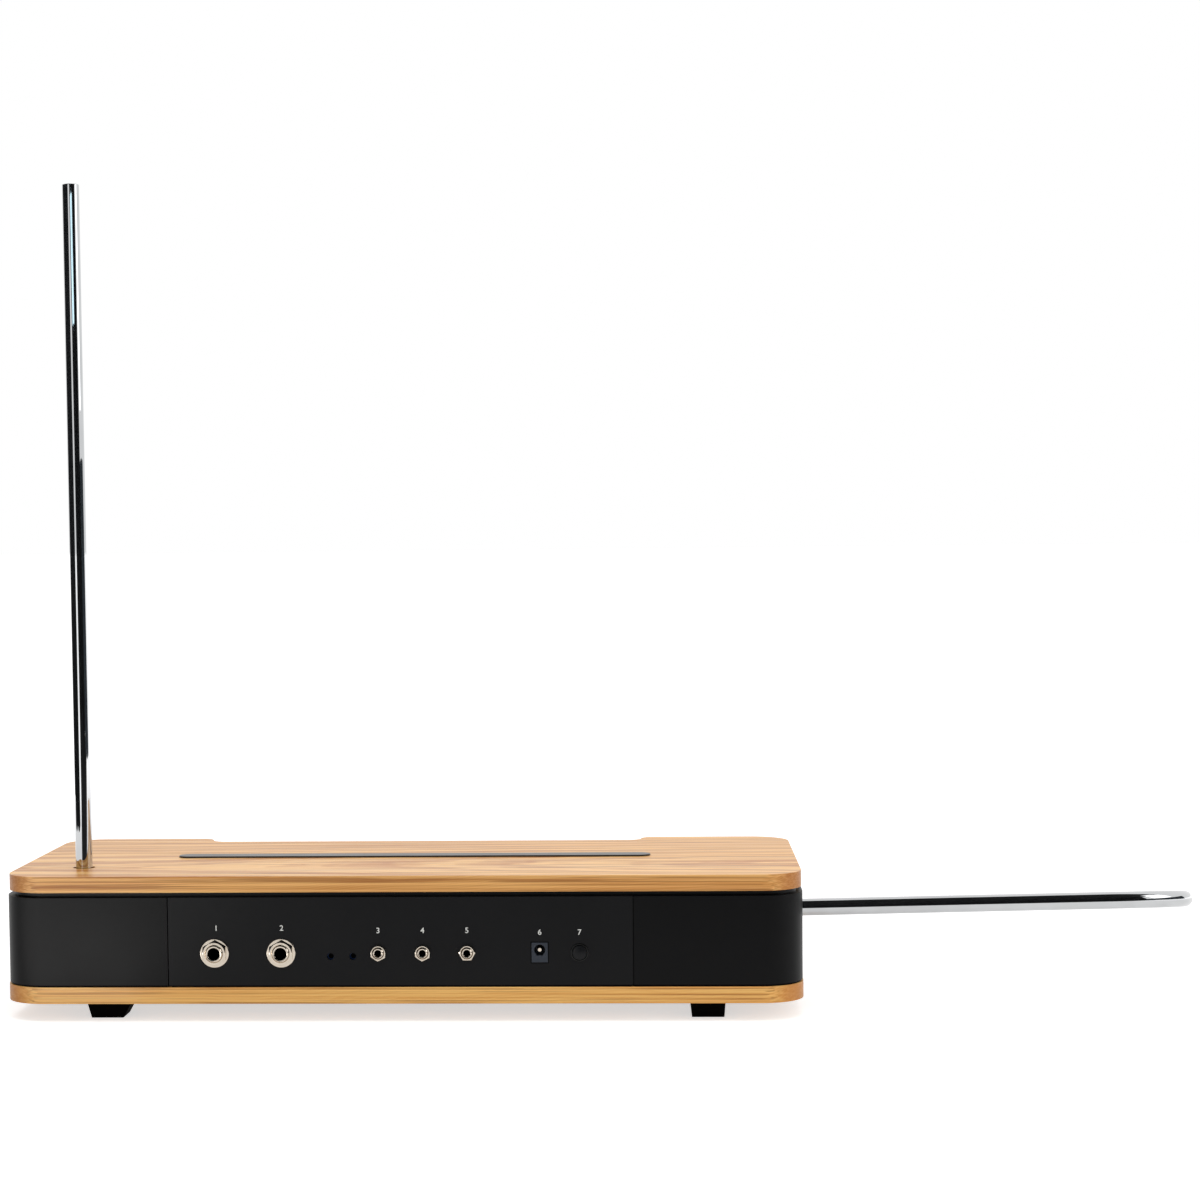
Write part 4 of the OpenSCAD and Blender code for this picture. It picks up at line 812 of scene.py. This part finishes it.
def makeKnob(name, x):
    look = knob
    r, h, s, t, e = look["radius"], look["height"], look["skirt"], look["skirtT"], look["edge"]
    ease, corner, roof = look["skirtEase"], look["skirtEdge"], h - look["roof"]
    section = [(look["shaft"], look["hollow"]), (look["hollowR"], look["hollow"]), (look["hollowR"], 0.0),
               (s - ease, 0.0), (s, ease)]
    section += arc(s - corner, t - corner, corner, 0, 90, 4)
    section += [(r + out, t + up) for out, up in look["neck"]]
    section += arc(r - e, h - look["crown"] - e, e, 0, 90, 6)
    section += [(r - e - inward, h - down) for inward, down in look["cap"]]
    section += [(0, h), (0, roof), (look["shaft"], roof)]

    def fluted(radius, angle):
        if radius < r - e or radius > r + look["fluteReach"]:
            return radius
        wave = 0.5 - 0.5 * math.cos(look["flutes"] * angle)
        return radius - look["fluteDepth"] * wave ** 2
    return turned(name, section, forward(x, look["back"], look["z"]), look["flutes"] * look["fluteSteps"],
                  radiusAt=fluted)


# the line starts at this radius; its steps go in from the knob's radius and down from its top
pointer = {"start": (3.6, 0.02), "steps": [(2.6, 0.03), (1.9, 0.1), (1.55, 0.34), (1.0, 0.36)], "bend": 1.0,
           "half": 0.55, "proud": 0.05, "sunk": 0.35}


def makePointer(name, x):
    # the white line is inlaid in the top and runs over the edge
    look = pointer
    r, h, bend = knob["radius"], knob["height"], look["bend"]
    ridge = [(look["start"][0], h - look["start"][1])]
    ridge += [(r - inward, h - down) for inward, down in look["steps"]]
    endRadius, endHeight = ridge[-1]
    for a in (20, 40, 60, 80):
        a = math.radians(a)
        ridge.append((endRadius + bend * math.sin(a), endHeight - bend + bend * math.cos(a)))
    points, faces = [], []
    place = forward(x, knob["back"], knob["z"])
    for radius, height in ridge:
        for side in (-look["half"], look["half"]):
            for rise in (look["proud"], -look["sunk"]):
                points.append(place @ Vector((side * mm, radius * mm, (height + rise) * mm)))
    for i in range(len(ridge) - 1):
        a = i * 4
        faces += [[a, a + 2, a + 6, a + 4], [a + 1, a + 5, a + 7, a + 3], [a, a + 4, a + 5, a + 1],
                  [a + 2, a + 3, a + 7, a + 6]]
    last = (len(ridge) - 1) * 4
    faces += [[0, 1, 3, 2], [last, last + 2, last + 3, last + 1]]
    return meshPiece(name, points, faces)


for name, x in knob["places"].items():
    dress(makeKnob(name + "Knob", x), finish["knobBlack"], name + "_knob", "knob_black", name + "_knob")
    dress(makePointer(name + "Pointer", x), finish["printWhite"], name + "_knob", "knob_black")
print("knobs made")


# the floor's glow goes from near to far between two distances
studio = {"floorZ": -0.00995, "floorSize": 60.0, "floorColour": (0.76, 0.76, 0.76), "nearGlow": 0.60,
          "nearGloss": 0.28, "farGlow": 1.0, "glowFrom": 0.55, "glowTo": 1.5, "skyStrength": 0.60,
          "whiteStrength": 1.0}


def seenRays(tree):
    # 1 where the camera, a glossy or a clear surface looks, and 0 for the light that falls on things
    path = put(tree, "ShaderNodeLightPath").node.outputs
    return calc(tree, "MAXIMUM", calc(tree, "MAXIMUM", path["Is Camera Ray"], path["Is Glossy Ray"]),
                path["Is Transmission Ray"])


def makeFloor():
    s, z = studio["floorSize"], studio["floorZ"]
    floor = meshPiece("floor", [(-s, -s, z), (s, -s, z), (s, s, z), (-s, s, z)], [[0, 1, 2, 3]])
    material, tree, shader = newMaterial("palePaper")
    grain = speckle(tree, stretched(tree, (1, 1, 1)), 40.0, 3.0, 0.5)
    near = studio["floorColour"]
    tree.links.new(blendColours(tree, grain, near, tuple(c * 0.985 for c in near)), shader.inputs["Base Color"])
    shader.inputs["Roughness"].default_value = 0.8
    # the paper is white in the distance and keeps the shadow close by
    place = put(tree, "ShaderNodeTexCoord").node.outputs["Object"]
    away = put(tree, "ShaderNodeVectorMath", {0: place}, operation="LENGTH").node.outputs["Value"]
    start, end, far = studio["glowFrom"], studio["glowTo"], studio["farGlow"]
    glow = remap(tree, away, start, end, studio["nearGlow"], far, "SMOOTHSTEP")
    gloss = remap(tree, away, start, end, studio["nearGloss"], far, "SMOOTHSTEP")
    direct = put(tree, "ShaderNodeLightPath").node.outputs["Is Camera Ray"]
    shown = calc(tree, "ADD", calc(tree, "MULTIPLY", direct, glow),
                 calc(tree, "MULTIPLY", calc(tree, "SUBTRACT", seenRays(tree), direct), gloss))
    shader.inputs["Emission Color"].default_value = (1, 1, 1, 1)
    tree.links.new(shown, shader.inputs["Emission Strength"])
    floor.data.materials.append(material)


def makeSky():
    world = bpy.data.worlds.new("studio")
    scene.world = world
    world.use_nodes = True
    tree = world.node_tree
    tree.nodes.clear()
    dim = put(tree, "ShaderNodeBackground", {"Color": (1, 0.99, 0.98, 1), "Strength": studio["skyStrength"]})
    white = put(tree, "ShaderNodeBackground", {"Color": (1, 1, 1, 1), "Strength": studio["whiteStrength"]})
    mixed = put(tree, "ShaderNodeMixShader", {0: seenRays(tree), 1: dim, 2: white})
    out = tree.nodes.new("ShaderNodeOutputWorld")
    tree.links.new(mixed, out.inputs["Surface"])


softboxes = {
    "topBox": {"at": (0.1, 0.2, 1.5), "toward": (0.0, 0.0, 0.05), "size": (1.8, 1.2), "power": 10.0},
    "leftBox": {"at": (1.5, 1.1, 0.8), "toward": (0.0, 0.05, 0.05), "size": (0.7, 1.2), "power": 1.4},
    "stripBox": {"at": (-0.60, 2.50, 0.82), "toward": (0.0, 0.0, 0.2), "size": (0.72, 1.7), "power": 8.6},
    "rightBox": {"at": (-1.62, 0.25, 1.0), "toward": (-0.1, 0.05, 0.05), "size": (0.5, 1.2), "power": 3.1,
                 "gloss": True},
}


def makeSoftboxes():
    for name, look in softboxes.items():
        lamp = bpy.data.lights.new(name, "AREA")
        lamp.shape = "RECTANGLE"
        lamp.size, lamp.size_y = look["size"]
        lamp.energy = look["power"]
        box = bpy.data.objects.new(name, lamp)
        scene.collection.objects.link(box)
        box.location = look["at"]
        box.rotation_euler = (Vector(look["toward"]) - Vector(look["at"])).to_track_quat("-Z", "Y").to_euler()
        box.visible_camera = False
        box.visible_glossy = look.get("gloss", False)


# cards that the gloss sees, as round any polished metal in a studio: each stands on a line of floor
# points and reaches from one height to another, or lies flat; a flag also keeps soft light off
studioCards = {
    "frontCard": {"line": [(0.46, 2.50), (-1.40, 2.40), (-1.80, 1.00)], "low": -0.009, "high": 1.32,
                  "tone": "felt"},
    "windowCard": {"line": [(0.15, 0.95), (-0.20, 0.84)], "low": 0.45, "high": 0.565, "tone": "daylight"},
    "leftCard": {"line": [(0.77, 1.22), (1.39, 0.54), (1.41, -0.40), (1.31, -0.60)], "low": -0.009,
                 "high": 1.10, "tone": "felt", "flag": True},
    "rightCard": {"line": [(-1.55, 0.90), (-1.60, -0.25), (-1.52, -0.65)], "low": -0.009, "high": 0.36,
                  "tone": "slate"},
    "sideCard": {"line": [(-1.58, 0.55), (-1.62, -0.15)], "low": 0.42, "high": 1.20, "tone": "window"},
    "roofCard": {"flat": [(-1.9, -0.19), (1.5, -0.19), (1.5, 2.5), (-1.9, 2.5)], "low": 1.32, "tone": "felt"},
    "glowCard": {"flat": [(0.16, 0.16), (0.52, 0.16), (0.60, 0.50), (0.20, 0.50)], "low": -0.009,
                 "tone": "lamp"},
    "groundCard": {"flat": [(-1.75, 0.50), (0.36, 0.50), (0.46, 2.5), (-1.75, 2.5)], "low": -0.009,
                   "tone": "felt"},
    "sideGround": {"flat": [(0.66, 0.93), (0.80, 1.20), (1.39, 0.54), (1.42, -0.35), (1.14, -0.26),
                            (1.11, 0.42)], "low": -0.009, "tone": "felt"},
}
cardTones = {
    "felt": {"colour": (0.008, 0.009, 0.011), "glow": 0.0},
    "slate": {"colour": (0.04, 0.05, 0.06), "glow": 0.06},
    "daylight": {"colour": (0.66, 0.90, 1.0), "glow": 1.35},
    "lamp": {"colour": (1.0, 0.99, 0.97), "glow": 5.1},
    "window": {"colour": (1.0, 1.0, 1.0), "glow": 2.2},
}


def cardMaterial(tone):
    look = cardTones[tone]
    material, tree, shader = newMaterial(tone + "Card")
    fuzz = speckle(tree, stretched(tree, (1, 1, 1)), 6.0, 3.0, 0.5)
    darker = tuple(c * 0.7 for c in look["colour"])
    cloth = blendColours(tree, remap(tree, fuzz, 0.35, 0.65), look["colour"], darker)
    tree.links.new(cloth, shader.inputs["Base Color"])
    tree.links.new(cloth, shader.inputs["Emission Color"])
    shader.inputs["Emission Strength"].default_value = look["glow"]
    shader.inputs["Roughness"].default_value = 0.9
    return material


def makeCards():
    tones = {tone: cardMaterial(tone) for tone in cardTones}
    for name, look in studioCards.items():
        if "flat" in look:
            points = [(x, y, look["low"]) for x, y in look["flat"]]
            faces = [list(range(len(points)))]
        else:
            points = [(x, y, z) for x, y in look["line"] for z in (look["low"], look["high"])]
            faces = [[2 * i, 2 * i + 2, 2 * i + 3, 2 * i + 1] for i in range(len(look["line"]) - 1)]
        card = meshPiece(name, points, faces)
        card.data.materials.append(tones[look["tone"]])
        card.visible_camera = False
        card.visible_diffuse = look.get("flag", False)
        card.visible_shadow = False
        card.visible_transmission = False


photoView = {"position": (-0.14201, 1.53575, 0.25568), "yaw": 0.0513, "pitch": 0.0608, "roll": 0.0102,
             "focal": 2640.0, "middle": (520.0, 700.0), "frame": 1200.0, "sensor": 36.0}


def makeCamera():
    look = photoView
    yaw, pitch, roll = look["yaw"], look["pitch"], look["roll"]
    right = Vector((-math.cos(yaw), -math.sin(yaw), 0))
    ahead = Vector((math.sin(yaw) * math.cos(pitch), -math.cos(yaw) * math.cos(pitch), -math.sin(pitch)))
    down = ahead.cross(right)
    across = math.cos(roll) * right + math.sin(roll) * down
    below = -math.sin(roll) * right + math.cos(roll) * down
    lens = bpy.data.cameras.new("photoCamera")
    lens.sensor_fit = "HORIZONTAL"
    lens.sensor_width = look["sensor"]
    lens.lens = look["focal"] / look["frame"] * look["sensor"]
    lens.shift_x = (look["frame"] / 2 - look["middle"][0]) / look["frame"]
    lens.shift_y = (look["middle"][1] - look["frame"] / 2) / look["frame"]
    lens.clip_start, lens.clip_end = 0.01, 100.0
    camera = bpy.data.objects.new("photoCamera", lens)
    scene.collection.objects.link(camera)
    axes = (across, -below, -ahead)
    camera.matrix_world = Matrix([[axes[0][i], axes[1][i], axes[2][i], look["position"][i]] for i in range(3)]
                                 + [[0, 0, 0, 1]])
    scene.camera = camera


makeFloor()
makeSky()
makeSoftboxes()
makeCards()
makeCamera()
scene.view_settings.view_transform = "Standard"
print("studio set")
